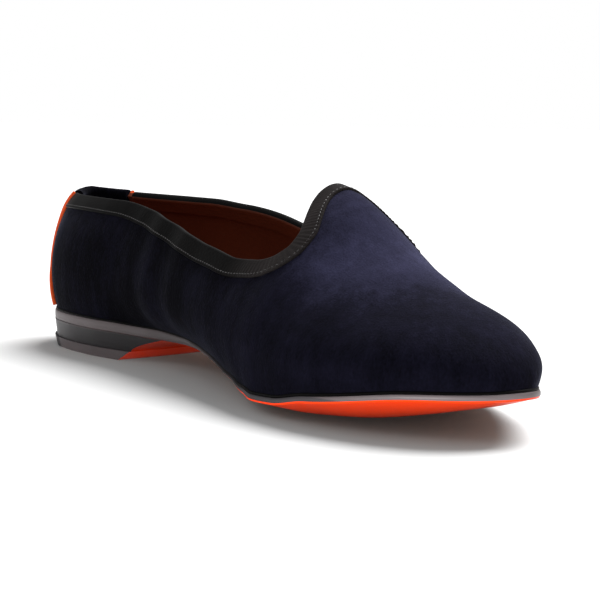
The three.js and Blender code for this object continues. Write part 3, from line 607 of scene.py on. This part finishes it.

# %% [markdown]
# ## Leathers
#
# The shoe has six leathers: the black of the binding, the duller black of the feather line, the
# cognac of the lining, darkened with painted shade for the inside of the shoe, the orange of the
# piping, the orange of the sole and the tan of the insole.
# All share a grain of small cells and differ in colour, gloss and how deep the grain is. The binding
# carries a painted highlight at the throat, where its gathers catch the light, so its colour follows
# the shoe's length.


# %% Leathers
def leather(name, colour, dark, roughness, gloss, grain, depth, cloud=20.0):
    material, tree, shader = new_finish(name, colour, roughness, Specular_IOR_Level=gloss)
    where = object_place(tree)
    cells = add_node(tree, "ShaderNodeTexVoronoi", {"Vector": where, "Scale": grain})
    fine = noise(tree, where, grain * 2.5)
    patches = noise(tree, where, cloud, 3.0)
    tree.links.new(ramp(tree, patches, [(0.3, dark), (0.7, colour)]), shader.inputs["Base Color"])
    low = bump(tree, shader, cells.outputs["Distance"], depth, 0.5)
    bump(tree, shader, fine, depth * 0.6, 0.35, low)
    return material


binding_leather = leather(
    "binding_leather", (0.0050, 0.0044, 0.0044), (0.0035, 0.0031, 0.0031), 0.42, 0.05, 900, 0.00012)
tree = binding_leather.node_tree
# Painted highlight: the binding is paler at the throat, where its gathers catch the light, and near black
# towards the back.
throat = ramp(tree, along_shoe(tree, place_parts(tree)), [
    (0.45, (0.0022, 0.0020, 0.0020)), (0.58, (0.0045, 0.0040, 0.0040)),
    (0.66, (0.022, 0.0185, 0.0182)), (0.76, (0.016, 0.0135, 0.0133)),
])
tree.links.new(throat, tree.nodes["Principled BSDF"].inputs["Base Color"])
rand_leather = leather(
    "rand_leather", (0.0040, 0.0036, 0.0036), (0.0030, 0.0028, 0.0028), 0.5, 0.05, 900, 0.00008)
# Painted shade: the lining's cognac is darkened to the shade inside the shoe.
lining_leather = leather(
    "lining_leather", (0.15, 0.034, 0.014), (0.11, 0.024, 0.010), 0.5, 0.25, 700, 0.00008)
piping_leather = leather(
    "piping_leather", (0.95, 0.115, 0.018), (0.88, 0.09, 0.014), 0.45, 0.2, 800, 0.00006)
sole_leather = leather(
    "sole_leather", (0.97, 0.050, 0.004), (0.93, 0.038, 0.003), 0.33, 0.12, 500, 0.00003, 12)
insole_leather = leather(
    "insole_leather", (0.26, 0.085, 0.03), (0.20, 0.06, 0.02), 0.5, 0.3, 650, 0.00008)
print("leathers:", [material.name for material in bpy.data.materials if "leather" in material.name])

# %% [markdown]
# ## Waxed edge, rubber, brass and thread
#
# The sides of the sole and the heel are sanded, dyed grey and waxed. The heel's side shows the
# layers of leather that it is stacked from, as bands that run level round it. Light and shade along
# the edge are painted into its colour: paler at the heel's back and at the toe, darkest at the waist
# and the ball. The rubber rear piece is matt and slightly rough, the nails are polished brass, and
# the threads are twisted.

# %% Edge, rubber, brass and thread
BANDS_UP = 60.0

waxed_edge, tree, shader = new_finish(
    "waxed_edge", (0.12, 0.10, 0.105), 0.42, Specular_IOR_Level=0.25)
parts = place_parts(tree)
bands = ramp(tree, math_node(tree, "MULTIPLY", parts["Z"], BANDS_UP), [
    (0.0, (0.34, 0.28, 0.29)), (0.24, (0.32, 0.265, 0.275)), (0.27, (0.17, 0.15, 0.165)),
    (0.64, (0.17, 0.15, 0.165)), (0.68, (0.40, 0.33, 0.34)), (1.0, (0.38, 0.315, 0.325)),
])
# Painted light and shade along the edge: paler at the heel's back and at the toe, darkest at the waist and
# the ball.
edge_light = ramp(tree, along_shoe(tree, parts), [(0.12, 0.22), (0.36, 0.11), (0.62, 0.10), (0.95, 0.38)])
fibres = noise(tree, object_place(tree), 220, 3.0, stretch=(0.3, 0.3, 4.0))
shade = ramp(tree, fibres, [(0.3, 0.78), (0.7, 1.0)])
banded_and_lit_edge = multiply_colours(tree, multiply_colours(tree, bands, edge_light), shade)
tree.links.new(banded_and_lit_edge, shader.inputs["Base Color"])
bump(tree, shader, fibres, 0.00008, 0.5)

heel_rubber, tree, shader = new_finish("heel_rubber", (0.040, 0.040, 0.044), 0.62)
bump(tree, shader, noise(tree, object_place(tree), 900), 0.0001, 0.5)

nail_brass, tree, shader = new_finish("nail_brass", (0.86, 0.70, 0.42), 0.25, Metallic=1.0)
bump(tree, shader, noise(tree, object_place(tree), 1500), 0.00003, 0.4)


def thread(name, colour, roughness):
    material, tree, shader = new_finish(name, colour, roughness)
    twist = add_node(tree, "ShaderNodeTexWave", {"Vector": object_place(tree), "Scale": 900.0})
    bump(tree, shader, twist.outputs["Fac"], 0.00004, 0.6)
    return material


black_thread = thread("black_thread", (0.050, 0.047, 0.048), 0.35)
blue_thread = thread("blue_thread", (0.030, 0.045, 0.09), 0.5)
print("materials so far:", len(bpy.data.materials))

# %% [markdown]
# ## Outsole
#
# The outsole is cut from one thick leather. It is made here as a slab between the two height
# functions, with a small round where its side meets its underside, because a cut leather edge is
# always sanded. The underside is dyed orange and the side is grey. The roll between them is grey
# from the heel to the end of the waist and orange from there on. The place where a maker would press
# a mark is left bare.


# %% Outsole
EDGE_ROUND = 0.8
ROUND_LIMIT = 0.32
TIP_WIDTH = 12
GREY_ROLL_TO = 0.57


def round_places(count):
    return np.linspace(0, math.pi, count)


def spread(count):
    """Places across the sole from -1 to 1, closer together towards its edges."""
    return np.sin(np.linspace(-QUARTER_TURN, QUARTER_TURN, count))


def inset_place(s, v, inset):
    """Where a place of the sole is, with the outline drawn in by a length."""
    half = sole_half(v, s)
    x = SOLE_LENGTH / 2 + (s - 0.5) * (SOLE_LENGTH - 2 * inset)
    return x, v * np.maximum(half - inset * np.minimum(1, half / TIP_WIDTH), 0)


def side_line(angles, side, inset, rim, height):
    """A line along the sole's side, at a share of its height and a rise that thin edges limit."""
    s = share_of(angles)
    low, high = underside_height(s, side), topside_height(s, side)
    x, y = inset_place(s, side, inset)
    rise = np.clip(rim, -ROUND_LIMIT * (high - low), ROUND_LIMIT * (high - low))
    return np.stack([x, y, low + (high - low) * height + rise], -1)


def sole_sheet(angles, across, inset, surface):
    """Rows across the sole from the inner edge to the outer one."""
    s, v = share_of(angles)[:, None], across[None, :]
    x, y = inset_place(s, v, inset)
    return np.stack(np.broadcast_arrays(x, y, surface(s, v)), -1)


angles = round_places(220)
across = spread(49)
side_profile = [
    (EDGE_ROUND, 0.0, 0.0), (0.22, 0.16 * EDGE_ROUND, 0.0), (0.0, EDGE_ROUND, 0.0),
    (-0.04, 0.0, 0.35), (-0.04, 0.0, 0.65), (0.0, -EDGE_ROUND * 0.8, 1.0), (0.18, -0.12, 1.0),
    (0.5, 0.0, 1.0),
]
grids = [
    (sole_sheet(angles, across, EDGE_ROUND, underside_height), 0),
    (sole_sheet(angles, across, 0.5, topside_height), 1),
]
roll_end = int(np.searchsorted(share_of(angles), GREY_ROLL_TO))
for side in (-1, 1):
    strips = [side_line(angles, side, *edge) for edge in side_profile]
    low, high = np.stack(strips[:3]), np.stack(strips[2:])
    grids += [(low[:, :roll_end], 1), (low[:, roll_end - 1:], 0), (high, 1)]
outsole = mesh_piece("outsole_leather", grids, [sole_leather, waxed_edge], 50)
fit(outsole, "sole_leather", "outsole")

# %% [markdown]
# ## Heel
#
# The heel is a stack: lifts of leather, and a top piece that meets the floor. Its front sweeps
# forward into the waist and is covered in orange leather. The top piece is orange leather in front,
# held by brass nails, and rubber behind, where a heel wears.


# %% Heel stack
SIDE_POINTS = 61
FRONT_POINTS = 41
FRONT_START = SIDE_POINTS - 1
FRONT_END = FRONT_START + FRONT_POINTS - 1
SIDE_END = FRONT_END + SIDE_POINTS - 1
TOP_SHARE = TOP_PIECE / HEEL_HEIGHT
SWEEP_POWER = 1.6
RUBBER_SLANT = 2.0
SEAM_GAP = 0.1
LIFT_GAP = 0.02


def breast_line(v):
    return HEEL_LENGTH - BREAST_SLANT * ((v + 1) / 2) ** 2


def rubber_line(v):
    return RUBBER_LENGTH + RUBBER_SLANT * v


def heel_place(x, v, z, taper):
    x, v, z = np.broadcast_arrays(x, v, z)
    s = x / SOLE_LENGTH
    half = sole_half(v, s)
    half = half - taper * np.minimum(1, half / (BALL_WIDTH / 4))
    return np.stack([x + taper * np.maximum(1 - s / BACK_FADE, 0), v * half, z], -1)


def heel_block(layers, front_of, height_of, back_of=None):
    """A block's walls, a row of points for each layer, and the sheets that close it."""
    v = spread(FRONT_POINTS)
    a = np.linspace(0, 1, SIDE_POINTS) ** (1 if back_of else 2)
    walls, sheets = [], []
    for share in layers:
        front = front_of(v, share)
        back = back_of(v) if back_of else 0 * v

        def placed(x, across):
            return heel_place(x, across, height_of(x, across, share), HEEL_TAPER * (1 - share))

        sides = [placed(back[k] + (front[k] - back[k]) * a, v[k]) for k in (0, -1)]
        rim = [sides[0], placed(front, v)[1:], sides[1][::-1][1:]]
        if back_of:
            rim.append(placed(back, v)[::-1][1:-1])
        walls.append(np.concatenate(rim))
        if share in (layers[0], layers[-1]):
            sheets.append(placed(back + (front - back) * a[:, None], v))
    return np.stack(walls), sheets


def lift_height(x, v, share):
    floor = TOP_PIECE + LIFT_GAP
    return floor + (underside_height(x / SOLE_LENGTH, v) - LIFT_GAP - floor) * share


def lift_front(v, share):
    return breast_line(v) + HEEL_SWEEP * (TOP_SHARE + (1 - TOP_SHARE) * share**SWEEP_POWER)


walls, (bottom, top) = heel_block(np.linspace(0, 1, 15), lift_front, lift_height)
lift_grids = [
    (walls[:, :FRONT_START + 1], 0), (walls[:, FRONT_START:FRONT_END + 1], 1),
    (walls[:, FRONT_END:], 0), (bottom, 0), (top, 0),
]
lift = mesh_piece("heel_lift_stack", lift_grids, [waxed_edge, sole_leather], 40)
fit(lift, "sole_edge", "heel_lift")

# %% [markdown]
# ## Top piece
#
# The two parts of the top piece are blocks too. Only a hair's breadth of gap parts the rubber from
# the leather, where their slanted ends meet.


# %% Top piece
def top_height(x, v, share):
    return TOP_PIECE * share


def rubber_front(v, share):
    return rubber_line(v) - SEAM_GAP


def rubber_back(v):
    return rubber_line(v) + SEAM_GAP


def piece_front(v, share):
    return breast_line(v) + HEEL_SWEEP * TOP_SHARE * share


walls, (bottom, top) = heel_block(np.linspace(0, 1, 5), rubber_front, top_height)
rubber = mesh_piece("heel_rubber_piece", [(walls, 0), (bottom, 0), (top, 0)], [heel_rubber], 40)
fit(rubber, "heel_rubber", "heel_rubber")

walls, (bottom, top) = heel_block(np.linspace(0, 1, 5), piece_front, top_height, rubber_back)
loop = closed(walls)
front_grids = [
    (loop[:, :FRONT_START + 1], 1), (loop[:, FRONT_START:FRONT_END + 1], 0),
    (loop[:, FRONT_END:SIDE_END + 1], 1), (loop[:, SIDE_END:], 0), (bottom, 0), (top, 1),
]
front_piece = mesh_piece("heel_front_piece", front_grids, [sole_leather, waxed_edge], 40)
fit(front_piece, "sole_leather", "heel_leather")

# %% [markdown]
# ## Repeats with Geometry Nodes
#
# Stitches repeat one small shape along a line. Geometry Nodes do that well: the line is a mesh of
# edges, the tree spaces points along it and sets one stitch on each, turned to run with the line.
# The sizes are named inputs, so the same tree sews every row.


# %% A tree that sews
def tree_input(tree, name, kind, value):
    socket = tree.interface.new_socket(name, in_out="INPUT", socket_type=kind)
    socket.default_value = value
    return socket


def stitch_tree():
    tree = bpy.data.node_groups.new("row of stitches", "GeometryNodeTree")
    tree.interface.new_socket("Geometry", in_out="INPUT", socket_type="NodeSocketGeometry")
    tree.interface.new_socket("Geometry", in_out="OUTPUT", socket_type="NodeSocketGeometry")
    tree_input(tree, "Pitch", "NodeSocketFloat", 0.0016)
    tree_input(tree, "Stitch length", "NodeSocketFloat", 0.0012)
    tree_input(tree, "Thread radius", "NodeSocketFloat", 0.0002)
    tree_input(tree, "Waver", "NodeSocketFloat", 0.06)
    tree.interface.new_socket("Thread", in_out="INPUT", socket_type="NodeSocketMaterial")
    given = add_node(tree, "NodeGroupInput").outputs
    curve = add_node(tree, "GeometryNodeMeshToCurve", {"Mesh": given["Geometry"]}).outputs[0]
    spacing = {"Curve": curve, "Length": given["Pitch"]}
    points = add_node(tree, "GeometryNodeCurveToPoints", spacing, mode="LENGTH")
    ball = add_node(tree, "GeometryNodeMeshUVSphere", {"Segments": 8, "Rings": 6, "Radius": 1.0})
    half = math_node(tree, "MULTIPLY", given["Stitch length"], 0.5)
    radius = given["Thread radius"]
    size = add_node(tree, "ShaderNodeCombineXYZ", {0: radius, 1: radius, 2: half})
    waver = math_node(tree, "MULTIPLY", given["Waver"], -1.0)
    tilt = add_node(tree, "FunctionNodeRandomValue", data_type="FLOAT_VECTOR")
    tilt.inputs["Seed"].default_value = 7
    low = add_node(tree, "ShaderNodeCombineXYZ", {0: waver, 1: waver}).outputs[0]
    high = add_node(tree, "ShaderNodeCombineXYZ", {0: given["Waver"], 1: given["Waver"]}).outputs[0]
    tree.links.new(low, tilt.inputs["Min"])
    tree.links.new(high, tilt.inputs["Max"])
    turned = add_node(tree, "FunctionNodeRotateRotation", {0: points.outputs["Rotation"]})
    turned.rotation_space = "LOCAL"
    tree.links.new(tilt.outputs["Value"], turned.inputs[1])
    set_down = add_node(tree, "GeometryNodeInstanceOnPoints", {
        "Points": points.outputs["Points"], "Instance": ball.outputs["Mesh"],
        "Rotation": turned.outputs[0], "Scale": size.outputs[0]})
    real = add_node(tree, "GeometryNodeRealizeInstances", {0: set_down.outputs[0]}).outputs[0]
    smooth = add_node(tree, "GeometryNodeSetShadeSmooth", {0: real}).outputs[0]
    dyed = add_node(tree, "GeometryNodeSetMaterial", {0: smooth, "Material": given["Thread"]}).outputs[0]
    add_node(tree, "NodeGroupOutput", {0: dyed})
    return tree


def plain_copy(name, made, tree, values):
    """Runs a tree on an object, keeps the result as a plain mesh and takes the modifier away."""
    modifier = made.modifiers.new("tree", "NODES")
    modifier.node_group = tree
    for socket in tree.interface.items_tree:
        if socket.in_out == "INPUT" and socket.name in values:
            modifier[socket.identifier] = values[socket.name]
    graph = bpy.context.evaluated_depsgraph_get()
    mesh = bpy.data.meshes.new_from_object(made.evaluated_get(graph))
    mesh.name = name
    made.modifiers.remove(modifier)
    bpy.data.objects.remove(made)
    return add_piece(name, mesh)


def sew(name, lines, slot, thread, radius, pitch=1.8, length=1.25, waver=0.06):
    points, edges = [], []
    for line in lines:
        start = len(points)
        points += in_metres(line).tolist()
        edges += [(start + i, start + i + 1) for i in range(len(line) - 1)]
    mesh = bpy.data.meshes.new(name)
    mesh.from_pydata(points, edges, [])
    row = bpy.data.objects.new(name, mesh)
    scene.collection.objects.link(row)
    values = {"Pitch": pitch / 1000, "Stitch length": length / 1000, "Thread radius": radius / 1000,
              "Waver": waver, "Thread": thread}
    return fit(plain_copy(name, row, stitching, values), slot)


stitching = stitch_tree()
print("inputs of the sewing tree:", [s.name for s in stitching.interface.items_tree if s.in_out == "INPUT"])

# %% [markdown]
# ## Nails
#
# Five brass nails hold the leather front of the top piece. They are driven flush, so only a small
# disc shows. The solid model already bores them in the right places, so they only get their brass.

# %% Nails
for number in range(1, 6):
    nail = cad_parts[f"heel_nail_{number}"]
    nail.data.materials.clear()
    nail.data.materials.append(nail_brass)
print("nails finished: 5")

# %% [markdown]
# ## Insole
#
# The insole closes the shoe underneath the foot. It is covered in the lining's leather, with a round
# edge where it meets the wall.


# %% Insole
def insole_sheet(angles, across, inset, lift):
    plan = []
    for side in (-1, 1):
        foot = last_at(side, angles, -1.0)
        ahead = last_at(side, angles + PROBE, -1.0) - last_at(side, angles - PROBE, -1.0)
        ahead[:, 2] = 0
        ahead = unit(ahead)
        plan.append(foot[:, :2] + side * inset * np.stack([ahead[:, 1], -ahead[:, 0]], -1))
    share = (across[None, :, None] + 1) / 2
    flat = plan[0][:, None, :] * (1 - share) + plan[1][:, None, :] * share
    s = flat[..., 0] / SOLE_LENGTH
    half = sole_half(np.sign(flat[..., 1]), s)
    z = topside_height(s, flat[..., 1] / half) + CLEARANCE + lift
    return np.concatenate([flat, z[..., None]], -1)


inner_inset = UPPER_WALL + CLEARANCE
across = spread(33)
angles = round_places(120)
layers = [(inner_inset + 0.5, 0.0), (inner_inset, 0.5), (inner_inset, INSOLE_THICKNESS - 0.8),
          (inner_inset + 0.25, INSOLE_THICKNESS - 0.2), (inner_inset + 0.9, INSOLE_THICKNESS)]
sheets = [insole_sheet(angles, across, inset, lift) for inset, lift in layers]
grids = [(sheets[0], 0), (sheets[-1], 0)]
for column in (0, -1):
    grids.append((np.stack([sheet[:, column] for sheet in sheets]), 0))
for row in (0, -1):
    grids.append((np.stack([sheet[row] for sheet in sheets]), 0))
insole = mesh_piece("insole_cover", grids, [insole_leather], 50)
fit(insole, "lining_leather", "insole")

# %% [markdown]
# ## Upper
#
# The upper is one wall of velvet and lining. It is made from lines that climb from the sole to the
# ridge of the vamp and, behind that, to the lower edge of the binding. The last few millimetres go
# under the binding to the top edge. Its outside is velvet and its inside is lining leather.

# %% Upper
LEAN_POWER = 4
VAMP_LINES = 70
EDGE_LINES = 9
WALL_ROWS = 64


def wall_grid(side, t, v):
    """Places of the wall lines t at the heights v, as side, angle and up."""
    share = np.minimum(t, 1) ** 2
    row = np.maximum(t - 1, 0)
    (edge_side, angle, up), _, down = edge_frame(side, row)
    angle, up = walk(edge_side, angle, up, down, BINDING_WIDTH)
    along = share_of(angle)
    foot = np.where(t < 1, 1 - (1 - TOP_EDGE[0, 0]) * share, edge_foot(row))
    at = np.where(t < 1, 1 - (1 - along) * share, along)
    top = np.where(t < 1, 1.0, up)
    s = foot[:, None] + (at - foot)[:, None] * v[None, :] ** LEAN_POWER
    return side, angle_of(s), -1 + (top + 1)[:, None] * v[None, :]


def wall_skin(side, out):
    over_edge = 1 + np.arange(LAST_ROW * EDGE_LINES + 1) / EDGE_LINES
    t = np.concatenate([np.arange(VAMP_LINES) / VAMP_LINES, over_edge])
    v = np.linspace(0, 1, WALL_ROWS + 1)
    body = last_point(*wall_grid(side, t, v), out)
    rows = t[VAMP_LINES:] - 1
    place, _, down = edge_frame(side, rows)
    band = []
    for reach in np.linspace(BINDING_WIDTH, 0, 5):
        angle, up = walk(*place, down, reach)
        band.append(last_point(place[0], angle, up, out))
    return body, np.stack(band, 1)


grids = []
for side in (-1, 1):
    body, band = wall_skin(side, 0.0)
    lining, lining_band = wall_skin(side, -UPPER_WALL)
    grids += [(body, 0), (band, 0), (lining, 1), (lining_band, 1)]
    grids.append((np.stack([body[:, 0], lining[:, 0]]), 0))
    grids.append((np.stack([band[:, -1], lining_band[:, -1]]), 1))
upper = mesh_piece("velvet_upper", grids, [velvet, lining_leather], 60)
fit(upper, "velvet", "upper")

# %% [markdown]
# ## Binding
#
# The binding is a strip of black leather folded over the top edge and sewn near its lower side. Round
# the tight curve of the throat the strip has more length than it needs, so it gathers in small
# ripples across its width. The ripples are real shape here, because they catch the light.


# %% Binding
GATHER_ROW = 7.0
GATHER_SPREAD = 2.4
GATHER_PITCH = 1.6
GATHER_HEIGHT = 0.24
GATHER_DRIFT = 1.3
SKIN_GAP = 0.05
FOLD_START = 0.6
FOLD_TURN = 0.3
FOLD_TUCK = 0.1
SEAM_IN = 1.1
SEAM_SUNK = 0.07


def fold_section(reach_out, reach_in, over, lift, count):
    """Down (mm below the edge) and out (mm from the wall's outside), from outside to inside."""
    middle, half = -UPPER_WALL / 2, UPPER_WALL / 2 + over
    outside = [(reach, over) for reach in np.linspace(reach_out, FOLD_START, count)]
    turns = np.linspace(0, math.pi, 9)
    rise = over - FOLD_TUCK + lift + FOLD_TURN
    top = [(FOLD_TURN - rise * math.sin(a), middle + half * math.cos(a)) for a in turns]
    inside = [(reach, -UPPER_WALL - over) for reach in np.linspace(FOLD_START, reach_in, 5)]
    return outside + top + inside


def against_wall(reach):
    """The part of a section that lies on the wall: up its inside, over its edge and down again."""
    return [(reach, -UPPER_WALL - SKIN_GAP), (FOLD_START, -UPPER_WALL - SKIN_GAP), (FOLD_START, SKIN_GAP)]


def both_sides(halves):
    """One strip of two halves that start where they meet."""
    return np.concatenate([halves[0][::-1], halves[1][1:]])


def folded_strip(side, rows, section, ripple=None):
    place, normal, down = edge_frame(side, rows)
    edge = last_point(*place)
    rings = []
    for below, out in section:
        reach = np.full(rows.shape, out) + (ripple(rows, below) if ripple and out > 0.5 else 0.0)
        if below > 0:
            angle, up = walk(*place, down, below)
            rings.append(last_point(place[0], angle, up, reach))
        else:
            rings.append(edge + normal * reach[:, None] + down * below)
    return np.stack(rings, 1)


def capped(strip):
    """The grids of a closed strip: its skin and its two ends, drawn in to their middles."""
    ends = [np.stack([strip[k], np.broadcast_to(strip[k].mean(0), strip[k].shape)]) for k in (0, -1)]
    return [(closed(grid), 0) for grid in [strip] + ends]


def rows_every(side, first, last, step):
    rows, lengths = edge_length[side]
    low, high = np.interp([first, last], rows, lengths)
    return np.interp(np.linspace(low, high, int((high - low) / step) + 1), lengths, rows)


def gathers(side):
    def ripple(rows, below):
        along = np.interp(rows, *edge_length[side])
        tight = np.exp(-(((rows - GATHER_ROW) / GATHER_SPREAD) ** 2))
        wave = np.sin(2 * math.pi * along / GATHER_PITCH + GATHER_DRIFT * np.sin(along / 5.3))
        return GATHER_HEIGHT * tight * wave * np.clip(below / BINDING_WIDTH, 0, 1) ** 0.7

    return ripple


FOLD_FROM = 9
LINING_FROM = 14
LINING_TO = 21
TONGUE_END = 6.0
binding_end = float(row_at(panel_reach(1.0) + (2 * PIPING_RADIUS + 3 * CLEARANCE) / SOLE_LENGTH))
over = SKIN_GAP + BINDING_THICKNESS
section = fold_section(BINDING_WIDTH, BINDING_WIDTH, over, 0.0, 8)
section += against_wall(BINDING_WIDTH)
section += [(BINDING_WIDTH + 0.1, SKIN_GAP), (BINDING_WIDTH + 0.14, over - 0.3)]
rows = [rows_every(k, 0, binding_end, 0.38) for k in (-1, 1)]
strips = [folded_strip(k, rows[k > 0], section, gathers(k)) for k in (-1, 1)]
strip = both_sides(strips)
tongue_first = len(rows[0]) - int(np.searchsorted(rows[0], TONGUE_END)) - 1
tongue_last = len(rows[0]) + int(np.searchsorted(rows[1], TONGUE_END)) - 1
fold = strip[:, FOLD_FROM:LINING_FROM + 1]
skin = [
    (strip[:, :FOLD_FROM + 1], 0), (fold[:tongue_first + 1], 0),
    (fold[tongue_first:tongue_last + 1], 1), (fold[tongue_last:], 0),
    (strip[:, LINING_FROM:LINING_TO + 1], 1),
    (closed(strip)[:, LINING_TO:], 0),
]
binding = mesh_piece("binding_strip", skin + capped(strip)[1:], [binding_leather, lining_leather], 50)
fit(binding, "binding_leather", "topline_binding")


def edge_seam(below, out):
    halves = []
    for side in (-1, 1):
        rows = rows_every(side, 0, binding_end, 0.5)
        place, _, down = edge_frame(side, rows)
        angle, up = walk(*place, down, below)
        halves.append(last_point(place[0], angle, up, out))
    return both_sides(halves)


seam = edge_seam(BINDING_WIDTH - SEAM_IN, over - SEAM_SUNK)
sew("binding_stitches", [seam], "binding_leather", black_thread, 0.22)

# %% [markdown]
# ## Back panel
#
# A second piece of velvet wraps the heel, stands a little over the top edge and folds down inside,
# where a heel rubs. Two rows of stitches run along each of its side edges.


# %% Back panel
PANEL_FOOT = 0.03
PANEL_THIN = 0.7
THIN_FROM = 0.96
SEAMS_IN = (0.9, 2.2)
SEAM_PROUD = 0.15


def panel_place(side, v, share):
    s = panel_reach(v) * share**2
    rows = row_at(s)
    top = by_side(side, edge_inner(rows), edge_outer(rows))
    return side, angle_of(s), -1 + (top + 1) * (PANEL_FOOT + (1 - PANEL_FOOT) * v)


fold = fold_section(FOLD_START, PANEL_LINING, SKIN_GAP + PANEL_THICKNESS, PANEL_RISE, 1)
levels = np.linspace(0, 0.98, 60)
halves = []
shares = np.sin(np.linspace(0, QUARTER_TURN, 60))[:, None]
thinned = PANEL_THIN * np.clip((shares - THIN_FROM) / (1 - THIN_FROM), 0, 1) ** 2
rows = row_at(panel_reach(1.0) * shares[:, 0] ** 2)
for side in (-1, 1):
    outside = panel_place(side, levels[None, :], shares)
    inside = panel_place(side, levels[None, ::-1], shares)
    halves.append(np.concatenate([
        last_point(*outside, PANEL_THICKNESS * (1 - thinned) + SKIN_GAP),
        folded_strip(side, rows, fold + against_wall(PANEL_LINING)),
        last_point(*inside, SKIN_GAP),
    ], 1))
panel = mesh_piece("back_panel_velvet", capped(both_sides(halves)), [velvet], 60)
fit(panel, "velvet", "back_panel")


def panel_line(side, inside, out):
    """A line down the panel, a few millimetres in from its side edge."""
    v = np.linspace(0.03, 0.96, 160)
    reach = panel_reach(v)
    share = np.sqrt(np.maximum(reach - inside / SOLE_LENGTH, 0) / reach)
    return last_point(*panel_place(side, v, share), out)


rows = [panel_line(side, inside, PANEL_THICKNESS + SEAM_PROUD) for side in (-1, 1) for inside in SEAMS_IN]
sew("panel_stitches", rows, "velvet", blue_thread, 0.2)

# %% [markdown]
# ## Piping
#
# An orange cord of leather lies along each side edge of the back panel. A tube swept along the edge
# makes it: each ring sits square to the line, one radius out from the velvet.


# %% Piping
def tube(path, outward, radius, sides=12):
    ahead = unit(np.gradient(path, axis=0))
    aside = unit(np.cross(ahead, outward))
    outward = np.cross(aside, ahead)
    turns = np.linspace(0, 2 * math.pi, sides, endpoint=False)
    ring = outward[:, None] * np.cos(turns)[None, :, None] + aside[:, None] * np.sin(turns)[None, :, None]
    return path[:, None] + radius * ring


def panel_edge(side):
    place = panel_place(side, np.linspace(0, 1, 120), 1.0)
    edge = last_point(*place)
    normal = last_normal(*place)
    forward = unit(np.cross(normal, np.gradient(edge, axis=0)) * side)
    return edge, normal, forward


for side, word in ((-1, "inner"), (1, "outer")):
    edge, normal, forward = panel_edge(side)
    path = edge + normal * (PIPING_RADIUS * 0.9) + forward * (PIPING_RADIUS * 0.8)
    grids = capped(tube(path, normal, PIPING_RADIUS))
    cord = mesh_piece(f"piping_cord_{word}", grids, [piping_leather], 60)
    fit(cord, "piping_leather", f"piping_{word}")

# %% [markdown]
# ## Feather line
#
# Where the velvet meets the sole there is a thin black line, partly a rand and partly the shade in
# the join of upper and sole. It is a fine black cord here, laid round the foot of the wall, so the
# cord paints that shade as well as standing for the rand.

# %% Feather line
RAND_LIFT = 0.12
RAND_RADIUS = 0.62

feet = [last_at(side, round_places(400), -1.0) for side in (-1, 1)]
loop = np.concatenate([feet[0], feet[1][::-1][1:-1]]) + np.array([0, 0, RAND_LIFT])
ahead = unit(np.roll(loop, -1, 0) - np.roll(loop, 1, 0))
outward = unit(np.cross(ahead, np.array([0, 0, 1.0])))
ring = tube(loop, outward, RAND_RADIUS, 10)
ring = np.concatenate([ring, ring[:1]])
# Painted shade: the black cord darkens the join of upper and sole as well as standing for the rand.
rand = mesh_piece("rand_cord", [(closed(ring), 0)], [rand_leather], 60)
fit(rand, "sole_edge")

# %% [markdown]
# ## Floor and sky
#
# The shoe stands on white paper in soft daylight. The sky lights it at a third of the paper's
# brightness, and only where the camera sees it bare is it as white as the paper, so floor and sky
# run together.

# %% Floor and sky
SKY_STRENGTH = 0.33
WHITE = (1, 1, 1, 1)

bpy.ops.mesh.primitive_plane_add(size=30, location=(0, 0, -0.0003))
floor = bpy.context.object
floor.name = "floor"
floor_paint, tree, shader = new_finish("floor_paint", (0.93, 0.93, 0.93), 0.9, Specular_IOR_Level=0.0)
paper = ramp(tree, noise(tree, object_place(tree), 3.0), [(0.3, 0.92), (0.7, 0.94)])
tree.links.new(paper, shader.inputs["Base Color"])
floor.data.materials.append(floor_paint)

world = bpy.data.worlds.new("studio")
scene.world = world
world.use_nodes = True
tree = world.node_tree
sky = tree.nodes["Background"]
sky.inputs["Color"].default_value = WHITE
sky.inputs["Strength"].default_value = SKY_STRENGTH
bare = add_node(tree, "ShaderNodeBackground", {"Color": WHITE, "Strength": 1.0})
rays = add_node(tree, "ShaderNodeLightPath").outputs["Is Camera Ray"]
mix = add_node(tree, "ShaderNodeMixShader", {0: rays, 1: sky.outputs[0], 2: bare.outputs[0]})
tree.links.new(mix.outputs[0], tree.nodes["World Output"].inputs["Surface"])
print("floor and sky made")

# %% [markdown]
# ## Light
#
# A broad sun behind the shoe rims the pile along the instep and lays the shadow under the arch, and a
# weak fill on the camera's side keeps the heel readable. White paper would throw light back up at the
# orange leather, and the orange back at the paper. A low lamp that reaches the sole alone stands for
# the first. The second would stain the shadow pink, so the sole's pieces are hidden from diffuse rays.


# %% Light
SUN_STRENGTH = 4.3


def lamp(name, kind, place, size, power):
    made = bpy.data.objects.new(name, bpy.data.lights.new(name, kind))
    if kind == "SUN":
        made.data.angle = math.radians(size)
    else:
        made.data.shape = "DISK"
        made.data.size = size
    made.data.energy = power
    made.location = place
    made.rotation_euler = (Vector((0, 0, 0.03)) - Vector(place)).to_track_quat("-Z", "Y").to_euler()
    scene.collection.objects.link(made)
    return made


lamp("sun", "SUN", (-0.1, 0.8, 1.3), 45, SUN_STRENGTH)
lamp("fill", "AREA", (0.2, -1.1, 0.9), 0.5, 1.2)
low_lamp = lamp("paper", "AREA", (0.45, -0.9, 0.05), 0.5, 16)
lit = bpy.data.collections.new("sole lit by the paper")
for piece in (outsole, front_piece):
    lit.objects.link(piece)
low_lamp.light_linking.receiver_collection = lit
for piece in (outsole, lift, front_piece):
    piece.visible_diffuse = False
